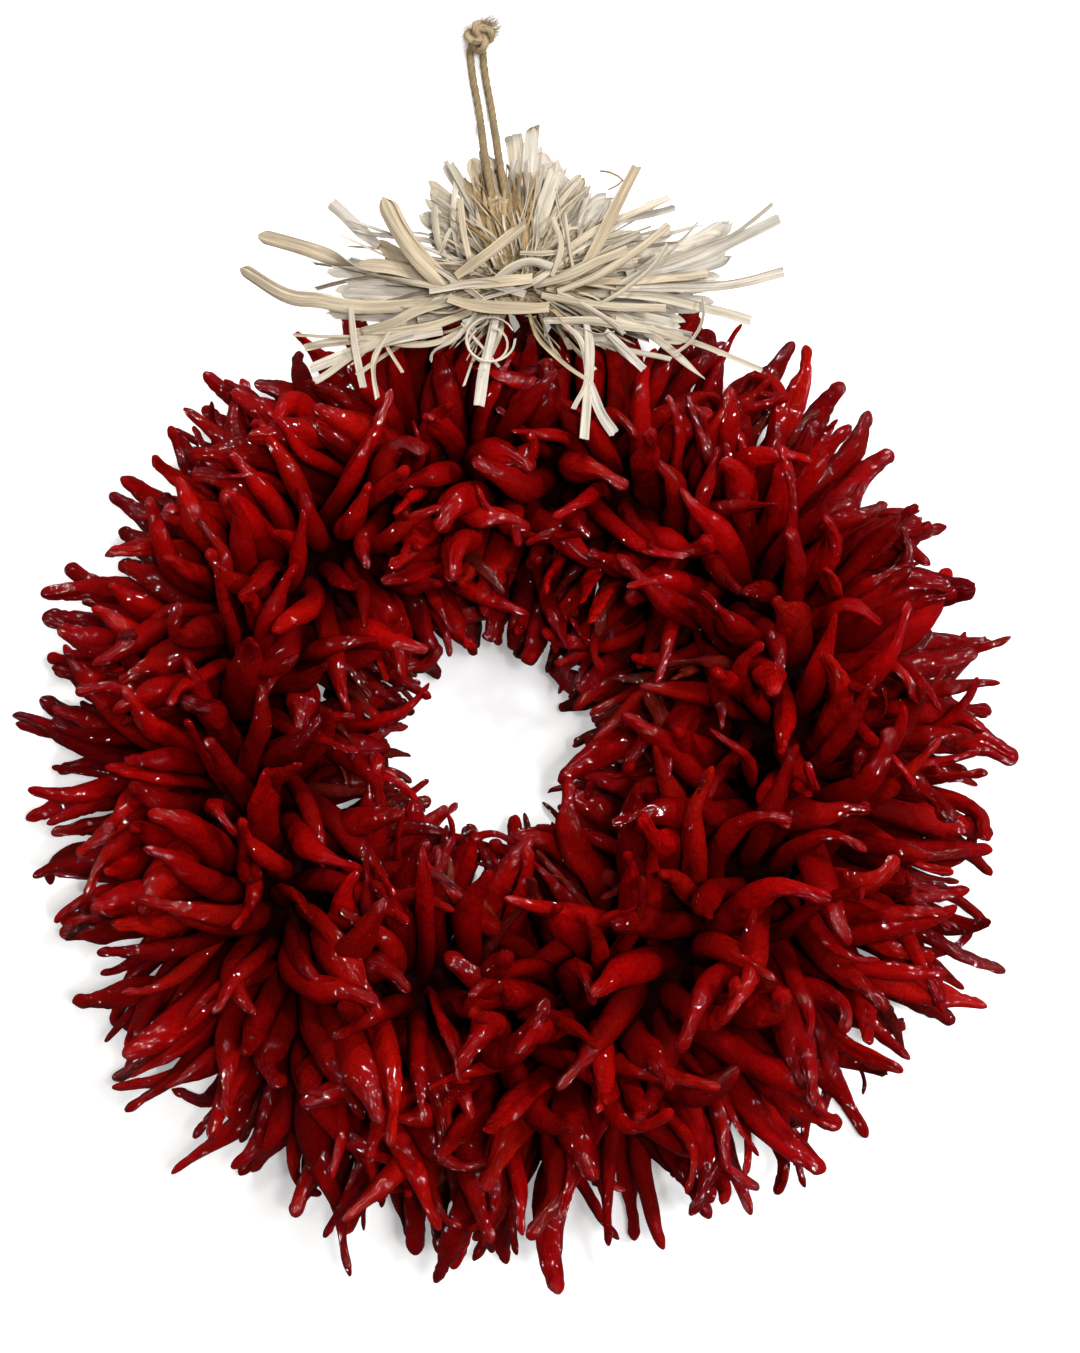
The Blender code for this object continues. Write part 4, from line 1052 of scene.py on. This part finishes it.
# Broad soft leaves under the strips: points, width, tone and how far the tip is stained
LEAVES = (
    (((-3, 8, -2), (-17, 24, -2), (-35, 38, -4)), 6.0, 0.42, 0.4),
    (((-3, 8, -1), (-15, 27, -1), (-27, 45, -3)), 5.0, 0.30, 0.0),
    (((-2, 9, -3), (-10, 28, -4), (-18, 46.5, -6)), 6.5, 0.55, 0.1),
    (((-1, 10, -4), (-6, 33, -6), (-13.5, 50, -9)), 5.5, 0.50, 0.1),
    (((0, 10, -4), (0, 36, -6), (-3.4, 60.5, -8)), 6.2, 0.34, 0.0),
    (((0, 12, -4), (1.5, 33, -6), (-0.6, 54, -8)), 5.0, 0.50, 0.2),
    (((1, 10, -3), (3, 35, -4), (4.6, 62, -7)), 5.4, 0.08, 0.7),
    (((2, 10, -3), (6, 30, -4), (8.6, 50, -6)), 8.0, 0.14, 0.0),
    (((3, 9, -2), (9, 30, -2), (13.5, 47.5, -5)), 8.4, 0.30, 0.0),
    (((3, 8, -1), (12, 28, -1), (17.5, 42.5, -4)), 8.0, 0.26, 0.0),
    (((4, 8, 0), (14, 26, 0), (22, 39, -3)), 6.6, 0.40, 0.2),
    (((4, 7, -1), (16, 22, -1), (25.5, 34.5, -3)), 8.0, 0.22, 0.0),
    (((5, 7, -2), (19, 19, -2), (33, 33, -4)), 8.4, 0.04, 0.0),
    (((6, 6, -2), (21, 16, -2), (32, 24, -4)), 9.0, 0.02, 0.0),
    (((6, 5, -2), (19, 10, -2), (31, 15, -3)), 7.4, 0.16, 0.0),
    (((-4, 6, -2), (-20, 17, -2), (-35, 26, -4)), 7.0, 0.24, 0.1),
    (((-5, 6, -1), (-20, 12, -1), (-34, 19, -4)), 6.4, 0.16, 0.0),
    (((-4, 7, -2), (-18, 20, -3), (-33, 32, -5)), 6.6, 0.34, 0.0),
    (((-3, 8, 1), (-12, 20, 1), (-21, 33, -1)), 6.4, 0.44, 0.0),
    (((-16, 5, 4), (-37, 7.2, 4), (-52, 14.6, 3)), 5.2, 0.66, 0.1),
    (((8, 3, 1), (40, 9, 2), (74, 18, -1)), 7.2, 0.16, 0.0),
    (((8, 1, 1), (44, 5, 1), (78, 23, -2)), 6.6, 0.06, 0.0),
    (((8, 1, 2), (44, 3, 2), (77, 11, 0)), 7.4, 0.04, 0.0),
    (((10, -1, 2), (45, -1, 2), (73, 2, 0)), 7.6, 0.12, 0.0),
    (((10, -3, 2), (42, -6, 3), (70, -8, 1)), 7.0, 0.08, 0.0),
    (((10, -4, 3), (36, -9, 4), (60, -14, 2)), 6.0, 0.26, 0.0),
    (((8, 4, 1), (30, 12, 1), (55, 20, -1)), 5.6, 0.22, 0.1),
    (((8, 4, 1), (26, 12, 1), (42, 19, 0)), 6.4, 0.30, 0.0),
    (((30, -12, 3), (48, -17, 3), (60, -20, 2)), 5.2, 0.12, 0.0),
    (((-8, 1, 1), (-40, 4, 1), (-70, 7, -1)), 7.0, 0.06, 0.0),
    (((-8, 0, 2), (-38, 1, 2), (-64, 2, 0)), 6.6, 0.02, 0.0),
    (((-10, -2, 2), (-40, -4, 2), (-67, -3, 0)), 6.4, 0.08, 0.0),
    (((-10, 3, 1), (-34, 8, 2), (-48, 11, 1)), 6.2, 0.34, 0.0),
    (((-12, -5, 3), (-44, -10, 3), (-72, -10, 0)), 5.4, 0.04, 0.0),
    (((-12, -6, 3), (-34, -13, 4), (-52, -14, 2)), 5.4, 0.30, 0.0),
)
FAN_LEAVES = 46                         # seeded leaves besides
FAN_STRIPS = 40
# Strips of the fan that stand out: points, width, tone
FAN_BOLD = (
    (((-5.7, 20, 3), (-11, 35, 0), (-14, 47, -2)), 3.4, 0.14),
    (((-5, 19, 5), (-4.3, 34, 2), (-1.5, 47, -2)), 2.6, 0.10),
    (((2.4, 25, 4), (2.6, 36, 3), (3.0, 47, 0)), 1.6, 0.24),
    (((3.0, 14, 5), (6, 30, 3), (8.4, 44, 1)), 1.8, 0.36),
    (((3.6, 14, 5), (8, 27, 5), (13.5, 42, 1)), 5.4, 0.28),
    (((-8, 14, 6), (-20, 31, 3), (-27.6, 46, -1)), 1.9, 0.26),
    (((-9, 12, 7), (-17, 28, 4), (-26, 45.4, 1)), 2.4, 0.40),
    (((-27, 8, 7), (-31, 18, 5), (-32.4, 30, 3)), 2.6, 0.46),
    (((-30, 12, 7), (-28, 17, 7), (-26, 21.5, 6)), 1.3, 0.36),
    (((-12, 12, 5), (-16, 23, 4), (-18, 33, 1)), 4.6, 0.30),
    (((8, 18, 6), (16, 32, 3), (22, 39, 0)), 2.2, 0.44),
    (((20, 4, 7), (23, 12, 6), (22.4, 24, 4), (25, 33, 1)), 2.3, 0.40),
    (((18, 8, 7), (16.8, 20, 6), (13, 36, 3)), 1.2, 0.36),
    (((12, 18, 6), (18, 21, 5), (23, 22, 4)), 1.1, 0.30),
    (((-22, 9, 6), (-25, 24, 4), (-24, 40, 1)), 2.2, 0.34),
)
CROSSING_SHREDS = 26                    # shreds that run right across the waist
FAN_FIBRES = 120                        # golden fibres up the fan's middle
STRAND_COVER = 16                       # fibres over the place where the loop's strands leave the bow
LOOSE_FIBRES = 110                      # pale fibres all through the bow
# Curls of fibre: middle (mm from the waist), radius (mm), and turns from and to (radians)
CURLS = (
    ((-11, -20, 15), 9.2, (0.4, 6.3)),
    ((-12, -22, 14), 7.4, (2.2, 7.6)),
    ((34, 22, 8), 12.0, (1.2, 3.0)),
)
# The bundle under the strips: x, and half its depth and height there (mm)
BUNDLE = ((-34, 3, 2.2), (-26, 8, 6), (-15, 10, 8), (-6, 7.6, 7), (0, 6.2, 6.2), (6, 7.6, 7), (15, 10, 8),
          (26, 8, 6), (34, 3.4, 2.2))
BUNDLE_SIDES = 40
BUNDLE_RINGS = 48
SHRED_SEED = 19
FIBRE_SEED = 29


def bow_places(seen, seated):
    """World places of points seen from above at (x, y) mm from the waist, at a height over the waist."""
    z = WAIST[2] + seen[:, 2] * MM
    if seated:
        floor = seat_height(WAIST[1] - HOLE_CENTRE[1] + seen[:, 1] * MM) + SEAT_CLEAR
        z = np.maximum(z, floor)
    near = (VIEW_HEIGHT - z) / (VIEW_HEIGHT - VIEW_PLANE)
    from_aim = np.array(WAIST_SEEN) + seen[:, :2] * MM - np.array(VIEW_AIM)
    flat = np.array(HOLE_CENTRE) + np.array(VIEW_AIM) + from_aim * near[:, None]
    return np.concatenate((flat, z[:, None]), axis=1)


def strip_line(points, rng, liveliness, seated):
    """A strip's middle line with a slight sway, the shares of its length at its points, and the length."""
    rough = np.array(points, float)
    length = np.linalg.norm(np.diff(rough, axis=0), axis=1).sum()
    s = 1 - (1 - np.linspace(0, 1, max(8, int(length * MM / STRIP_STEP)))) ** 1.3
    line = smooth_line(rough, s)
    for turns in (1, 2, 3):
        sway = rng.uniform(-1, 1, 3) * (1, 1, 0.6)
        swing = np.sin(2 * np.pi * turns * 0.8 * s + rng.uniform(-3, 3)) * s * length * liveliness / turns
        line += swing[:, None] * sway
    return bow_places(line, seated), s, length * MM


def strip_width(s, length, width, tip):
    """Half-width along a strip. The tip is "cut", "round" or "point"."""
    half = 0.5 * width * MM * (0.72 + 0.28 * eased(s / 0.4)) * (1 + 0.05 * np.sin(9 * s + 5 * width))
    left = (1 - s) * length / (width * MM)
    if tip == "point":
        half = half * np.clip(0.16 + 0.84 * eased(left / 4.5) ** 0.7, 0, 1)
    elif tip == "round":
        half = half * np.sqrt(np.clip(1 - (1 - left / 0.55).clip(0) ** 2, 0.12, 1))
    return half


def under_twine(points):
    """Lowers points that would hide the loop's strands, beyond the route's third point."""
    route = np.array([from_hole(point) for point in LOOP_ROUTE])
    x = np.interp(points[..., 1], route[:, 1], route[:, 0])
    z = np.interp(points[..., 1], route[:, 1], route[:, 2]) - 2.3 * MM
    aside = np.maximum(np.abs(points[..., 0] - x) - 4.4 * MM, 0)
    before = np.maximum(route[2, 1] - points[..., 1], 0)
    over = np.maximum(points[..., 2] - z - 1.3 * aside - 1.2 * before, 0)
    points[..., 2] -= 1.25 * over


def add_strip(batch, points, width, tone, rng, twist=0.0, across=5, thick=HUSK, tip="cut", seated=True,
              liveliness=0.014, torn=0.25, lean=0.35, stain=0.0, tan_and_shade=0.0):
    """A thin solid strip through points as seen from the waist, cupped, ribbed and torn at its tip."""
    line, s, length = strip_line(points, rng, liveliness, seated)
    roll = rng.uniform(-lean, lean) + twist * 2 * np.pi * eased((s - 0.25) / 0.5) + 0.7 * lean * np.sin(5 * s)
    run = unit(np.gradient(line, axis=0))
    flatways = unit(np.cross(np.array((0.0, 0.0, 1.0)), run))
    upright = np.cross(run, flatways)
    side = flatways * np.cos(roll)[:, None] + upright * np.sin(roll)[:, None]
    face = np.cross(run, side)
    share = np.linspace(-1, 1, across)
    half = strip_width(s, length, width, tip)
    cup = rng.uniform(-0.32, 0.34) * half
    ribs = 0.035 * width * MM * rng.normal(0, 1, across)
    middle = (line[:, None, :] + side[:, None, :] * (half[:, None] * share)[..., None]
              + face[:, None, :] * (cup[:, None] * share ** 2 + ribs)[..., None])
    ragged = rng.uniform(-1, 1, across) * torn * width * MM
    middle += run[-1] * (eased((s - 0.85) / 0.15)[:, None] * ragged)[..., None]
    if seated:
        floor = seat_height(middle[..., 1] - HOLE_CENTRE[1]) + SEAT_CLEAR
        middle[..., 2] = np.maximum(middle[..., 2], floor)
        under_twine(middle)
    lift = 0.5 * thick * face[:, None, :]
    ring = np.concatenate((middle + lift, (middle - lift)[:, ::-1]), axis=1)
    u = np.concatenate((share, share[::-1])) * 0.5 * width * MM
    v = s[:, None] * length
    skin = stacked(u[None, :], 0, v) + rng.uniform(0, 1, 3)
    strip_tone = tone * (1 - 0.5 * eased((s - 0.7) / 0.3)) if tone < 0.5 else tone + 0 * s
    # Darker tan near the waist: partly the husk's own golden brown, partly painted shade for the bow's
    # crowded middle.
    from_waist = np.linalg.norm(line[:, :2] - WAIST[:2], axis=1)
    strip_tone = strip_tone + stain * eased((s - 0.86) / 0.12) + tan_and_shade * np.exp(-(from_waist / TAN_AND_SHADE_REACH) ** 2)
    batch.add(ring[None], skin=skin[None], tone=strip_tone[None, :, None])


def shred_points(rng, direction, distance, low, high):
    """Root, middle and tip of a shred that leaves the waist one way and bends another."""
    leaves = direction + rng.uniform(-24, 24)
    root = rng.uniform(3, 20)
    start, middle, end = rng.uniform(low, high, 3)
    bend = 0.6 * leaves + 0.4 * direction
    spots = []
    for reach, turn, squash, lift in ((root, leaves, 0.72, start), (0.5 * distance, bend, 1, middle + 1),
                                      (distance, direction, 1, end - 4)):
        angle = math.radians(turn)
        spots.append((reach * math.cos(angle), squash * reach * math.sin(angle), lift))
    return spots


def fan_envelope(direction):
    """How far the fan reaches from the waist in a direction (degrees), in mm."""
    return 41 + 8 * math.exp(-((direction - 92) / 26) ** 2) + 4 * math.exp(-((direction - 121) / 12) ** 2)


def fan_points(rng, direction, reach, low, high, start=6):
    """A fan piece's points: up from the waist, spreading with a slight bow."""
    lift = rng.uniform(low, high)
    turn, bow = math.radians(direction), math.radians(direction + rng.uniform(-13, 13))
    return ((start * math.cos(turn) + rng.uniform(-8, 8), 0.5 * start, lift),
            (0.5 * reach * math.cos(bow), 0.5 * reach * math.sin(bow), lift + 2),
            (reach * math.cos(turn), reach * math.sin(turn), lift - 3))


def add_fan(batch, rng):
    """Broad soft leaves, and narrower strips over them, tan towards the fan's middle."""
    for points, width, tone, stain in LEAVES:
        add_strip(batch, points, width, tone, rng, across=7, tip="round", torn=0.45, lean=0.10, stain=stain,
                  liveliness=0.010, tan_and_shade=0.8)
    for number in range(FAN_LEAVES):
        direction = 36 + 116 * (number + rng.uniform(0, 1)) / FAN_LEAVES
        reach = fan_envelope(direction) * rng.uniform(0.60, 0.97)
        middle = math.exp(-((direction - 100) / 14) ** 2)
        add_strip(batch, fan_points(rng, direction, reach, -6, 0), rng.uniform(2.6, 6.0),
                  rng.uniform(0.05, 0.40) + 0.5 * middle, rng, tip="round", torn=0.5, lean=0.14, tan_and_shade=0.8)
    for number in range(FAN_STRIPS):
        direction = 42 + 108 * (number + rng.uniform(0, 1)) / FAN_STRIPS
        middle = math.exp(-((direction - 101) / 13) ** 2)
        reach = fan_envelope(direction) * rng.uniform(0.5, 0.92)
        tone = np.clip(rng.uniform(0.1, 0.5) + 0.7 * middle * rng.uniform(0.3, 1), 0, 1)
        add_strip(batch, fan_points(rng, direction, reach, 0, 6), rng.uniform(1.0, 3.0), tone, rng,
                  rng.uniform(-0.1, 0.1), tip=rng.choice(("cut", "point")), liveliness=0.022, tan_and_shade=0.7)
    for points, width, tone in FAN_BOLD:
        add_strip(batch, points, width, tone, rng, across=7, liveliness=0.010, torn=0.3)


def add_shreds(batch, rng):
    """The narrow shreds on both sides of the waist and across it."""
    for span, distances, count, widths, tones in SHREDS:
        for number in range(count):
            direction = span[0] + (span[1] - span[0]) * (number + rng.uniform(0, 1)) / count
            points = shred_points(rng, direction, rng.uniform(*distances), -2, 12)
            add_strip(batch, points, rng.uniform(*widths), rng.uniform(*tones), rng, rng.uniform(-0.3, 0.3),
                      tip=rng.choice(("cut", "point", "cut")), liveliness=0.022, tan_and_shade=0.7)
    for number in range(CROSSING_SHREDS):
        y, z = rng.uniform(-6, 6), rng.uniform(-5, 9)
        far = rng.uniform(22, 46)
        points = ((-far, 1.9 * y + rng.uniform(-5, 5), 0.9 * z), (0, y, z), (far, 1.9 * y, 0.9 * z))
        add_strip(batch, points, rng.uniform(1.6, 3.8), rng.uniform(0.2, 0.7), rng, 0.1, tan_and_shade=0.6)


def build_bow():
    """Strips, shreds, the fan behind them, the fine fibres and the bundle under them."""
    rng = np.random.default_rng(SHRED_SEED)
    cream = husk_finish("husk_cream", (0.51, 0.465, 0.40), (0.48, 0.40, 0.29), (0.37, 0.27, 0.15))
    bold, loose, fan = Batch(), Batch(), Batch()
    for points, width, tone, twist in BOLD_STRIPS:
        tip = "round" if width > 5 else "cut"
        add_strip(bold, points, width, tone, rng, twist, across=9, tip=tip, liveliness=0.006, torn=0.12)
    add_shreds(loose, rng)
    add_fan(fan, rng)
    strips = bold.make("husk_strips", cream, SHARP)
    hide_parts("husk_bow")
    for piece in (strips, loose.make("husk_shreds", cream, SHARP), fan.make("husk_fan", cream, SHARP),
                  build_fibres(), build_bundle(cream)):
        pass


def build_fibres():
    """Hair-thin fibres: golden ones up the fan's middle, pale ones all through the bow, and curls."""
    rng = np.random.default_rng(FIBRE_SEED)
    finish = husk_finish("husk_fibre", (0.54, 0.49, 0.42), (0.46, 0.36, 0.22), (0.28, 0.17, 0.065))
    batch = Batch()
    for number in range(FAN_FIBRES):
        direction = rng.normal(102, 10)
        reach = fan_envelope(direction) * rng.uniform(0.40, 0.98)
        points = fan_points(rng, direction, reach, 1, 9, start=3)
        add_strip(batch, points, rng.uniform(0.4, 1.2), rng.uniform(0.6, 1.0), rng, across=3,
                  thick=0.4 * MM, liveliness=0.035)
    for number in range(STRAND_COVER):
        side = (number + 0.5) / STRAND_COVER * 2 - 1
        reach = 31 + 5 * math.sin(2.7 * number)
        points = ((-6 + 3 * side, 6, 12), (-7.5 + 6.5 * side, 0.6 * reach, 8), (-8.5 + 9 * side, reach, 6))
        add_strip(batch, points, rng.uniform(0.6, 1.5), rng.uniform(0.45, 0.95), rng, across=3,
                  thick=0.4 * MM, tip="point", seated=False, liveliness=0.02)
    for number in range(LOOSE_FIBRES):
        direction = rng.choice((rng.uniform(-40, 40), rng.uniform(150, 230), rng.uniform(40, 150)))
        points = shred_points(rng, direction, rng.uniform(20, 50), 0, 15)
        add_strip(batch, points, rng.uniform(0.3, 0.8), rng.uniform(0.0, 0.6), rng, across=3,
                  thick=0.3 * MM, tip="point", liveliness=0.05)
    for (x, y, z), radius, turns in CURLS:
        curl = [(x + radius * math.cos(turn), y + 0.9 * radius * math.sin(turn), z + 0.3 * turn)
                for turn in np.linspace(*turns, 14)]
        add_strip(batch, curl, 0.8, 0.2, rng, across=3, thick=0.4 * MM, liveliness=0)
    return batch.make("husk_fibres", finish, SHARP)


def build_bundle(finish):
    """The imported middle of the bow, under its strips."""
    rng = np.random.default_rng(SHRED_SEED + 1)
    around = angles_round(BUNDLE_SIDES)
    s = np.linspace(0, 1, BUNDLE_RINGS)
    x, deep, tall = (smooth_line(BUNDLE, s)[:, axis, None] * MM for axis in range(3))
    groove = 1 + 0.09 * np.sin(13 * around + 4 * s[:, None]) + 0.05 * rng.normal(0, 1, BUNDLE_SIDES)
    points = stacked(WAIST[0] + x, WAIST[1] + deep * np.cos(around) * groove,
                     WAIST[2] + tall * np.sin(around) * groove)
    skin = stacked(0.01 * np.cos(around), 0.01 * np.sin(around), x)
    batch = Batch()
    batch.add(points[None], skin=skin[None], tone=np.full((1, 1, 1), 1.0))
    return batch.make("husk_bundle", finish, 60)


# ---------------------------------------------------------------------------------------------
# Twine
# ---------------------------------------------------------------------------------------------

PLIES = 3
LAY = 11 * MM                           # length of one turn of the twist
FUZZ_SEED = 43
BRUSHED_HAIRS = 420                     # of the loop's end, past the knot
KNOT_HAIRS = 150                        # longer stray ones round the knot


def add_twine(batch, line, hairs, longest, rng, radius=0.5 * TWINE, sides=18):
    """A twisted cord with its plies as lobes, and short stray fibres along it, up to a length."""
    across, over = carried_frames(line[None])
    around = angles_round(sides)
    gone = np.concatenate(([0], np.cumsum(np.linalg.norm(np.diff(line, axis=0), axis=1))))[:, None]
    turned = around - 2 * np.pi * gone / LAY
    size = radius * (0.78 + 0.24 * np.abs(np.cos(0.5 * PLIES * turned)) ** 0.7)
    rings = line[:, None, :] + size[..., None] * spokes(around, across[0], over[0])
    skin = stacked(radius * np.cos(turned), radius * np.sin(turned), gone)
    batch.add(rings[None], skin=skin[None])
    for number in range(hairs):
        at = smooth_line(line, [rng.uniform(0.02, 0.98)])[0]
        out = unit(rng.normal(0, 1, 3))
        out[2] = abs(out[2])
        add_hair(batch, at + 0.35 * TWINE * out, out, rng.uniform(0.4, 1.0) * longest, 0.09 * MM, rng, 0.9)


def add_hair(batch, start, ahead, length, thick, rng, curl=0.5):
    """One fine fibre that bends away from its start."""
    s = np.linspace(0, 1, 6)[:, None]
    side = unit(np.cross(ahead, rng.normal(0, 1, 3)))
    line = start + length * (ahead * s + side * curl * s ** 2 * rng.uniform(-1, 1))
    line[:, 2] = np.maximum(line[:, 2], 0.4 * MM)
    across, over = carried_frames(line[None])
    size = 0.5 * thick * (1 - 0.6 * s)
    rings = line[:, None, :] + size[..., None] * spokes(angles_round(3), across[0], over[0])
    batch.add(rings[None], skin=np.broadcast_to(line[:, None, :], rings.shape)[None])


def dense(line, step):
    """The line again, with points about a step apart along a smooth curve."""
    line = np.asarray(line, float)
    length = np.linalg.norm(np.diff(line, axis=0), axis=1).sum()
    return smooth_line(line, np.linspace(0, 1, max(8, int(length / step))))


def build_loop(finish, pale):
    """The two strands and the knot of the hanging loop."""
    rng = np.random.default_rng(FUZZ_SEED)
    knot = build_knot(pale, rng)
    for side, aside in (("left", -LOOP_SPREAD), ("right", LOOP_SPREAD)):
        path = dense([from_hole(point, aside) for point in LOOP_ROUTE], 1.1 * MM)
        batch = Batch()
        add_twine(batch, path, 70, 2.2 * MM, rng)
        strand = batch.make("twine_strand_" + side, finish)
        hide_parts("loop_strand_" + side)


def knot_lines(centre):
    """The knot's two turns of twine, and the two strands' run into it."""
    t = np.linspace(0.35, 2 * np.pi - 0.35, 60)
    trefoil = np.stack((np.sin(t) + 2 * np.sin(2 * t), np.cos(t) - 2 * np.cos(2 * t), -1.2 * np.sin(3 * t)),
                       axis=1)
    lines = []
    for turn, size, shift in ((0.2, 1.55, (0, -1.0, 0)), (1.3, 1.35, (1.0, 0.5, 0.8))):
        cos, sin = math.cos(turn), math.sin(turn)
        spun = trefoil @ np.array(((cos, sin, 0), (-sin, cos, 0), (0, 0, 1)))
        lines.append(centre + MM * (size * spun + np.array(shift)))
    end = np.array(LOOP_ROUTE[-1])
    for aside in (-LOOP_SPREAD, LOOP_SPREAD):
        run_in = (end + (aside, -0.6, 0), end + (0.8 * aside, 2.2, 0.5), end + (0.35 * aside + 0.6, 5.2, 2.4))
        lines.append(dense([from_hole(point) for point in run_in], 0.8 * MM))
    return lines


def build_knot(finish, rng):
    """The overhand knot in the doubled twine, with its brushed-out end."""
    centre = np.array(from_hole(KNOT_CENTRE))
    batch = Batch()
    for line in knot_lines(centre):
        line[:, 2] = np.maximum(line[:, 2], 0.5 * TWINE + 0.3 * MM)
        add_twine(batch, line, 110, 3.6 * MM, rng)
    for number in range(BRUSHED_HAIRS):
        angle = math.radians(rng.uniform(-55, 112))
        root = centre + MM * np.array((rng.uniform(0, 3.5), rng.uniform(0, 4), rng.uniform(-2, 2.5)))
        ahead = unit(np.array((math.cos(angle), math.sin(angle), rng.uniform(-0.35, 0.35))))
        reach = 5.2 + 4.4 * math.exp(-((math.degrees(angle) - 30) / 38) ** 2)
        add_hair(batch, root, ahead, rng.uniform(0.7, 1.0) * reach * MM, 0.13 * MM, rng, 0.45)
    for number in range(KNOT_HAIRS):
        angle = math.radians(rng.uniform(100, 260))
        ahead = unit(np.array((math.cos(angle), math.sin(angle), rng.uniform(-0.4, 0.4))))
        add_hair(batch, centre + 3.6 * MM * ahead, ahead, rng.uniform(2.5, 5) * MM, 0.10 * MM, rng, 0.9)
    knot = batch.make("twine_knot", finish)
    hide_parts("loop_knot")
    return knot


def build_tie(finish):
    """Three turns of twine round the bow's waist."""
    batch = Batch()
    rng = np.random.default_rng(FUZZ_SEED + 1)
    t = np.linspace(0, 2 * np.pi * 3, 150)
    drift = (t / t[-1] - 0.5) * 2.1 * TWINE
    round_waist = 8.6 * MM * np.stack((0 * t, np.cos(t), np.sin(t)), axis=1)
    line = np.array(WAIST) + round_waist + np.stack((drift, 0 * t, 0 * t), axis=1)
    add_twine(batch, line, 90, 3.0 * MM, rng, radius=0.46 * TWINE, sides=14)
    tie = batch.make("waist_tie", finish)
    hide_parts("twine_tie")


# ---------------------------------------------------------------------------------------------
# Making
# ---------------------------------------------------------------------------------------------


def main():
    """The camera and the cords first, then the lights and the rest of the wreath."""
    add_camera()
    twine = twine_finish("jute", (0.11, 0.072, 0.030), (0.30, 0.225, 0.125))
    pale_twine = twine_finish("jute_pale", (0.17, 0.112, 0.052), (0.42, 0.325, 0.205))
    build_loop(twine, pale_twine)
    build_tie(twine)
    add_studio()
    build_chilies()
    build_core()
    build_bow()


main()
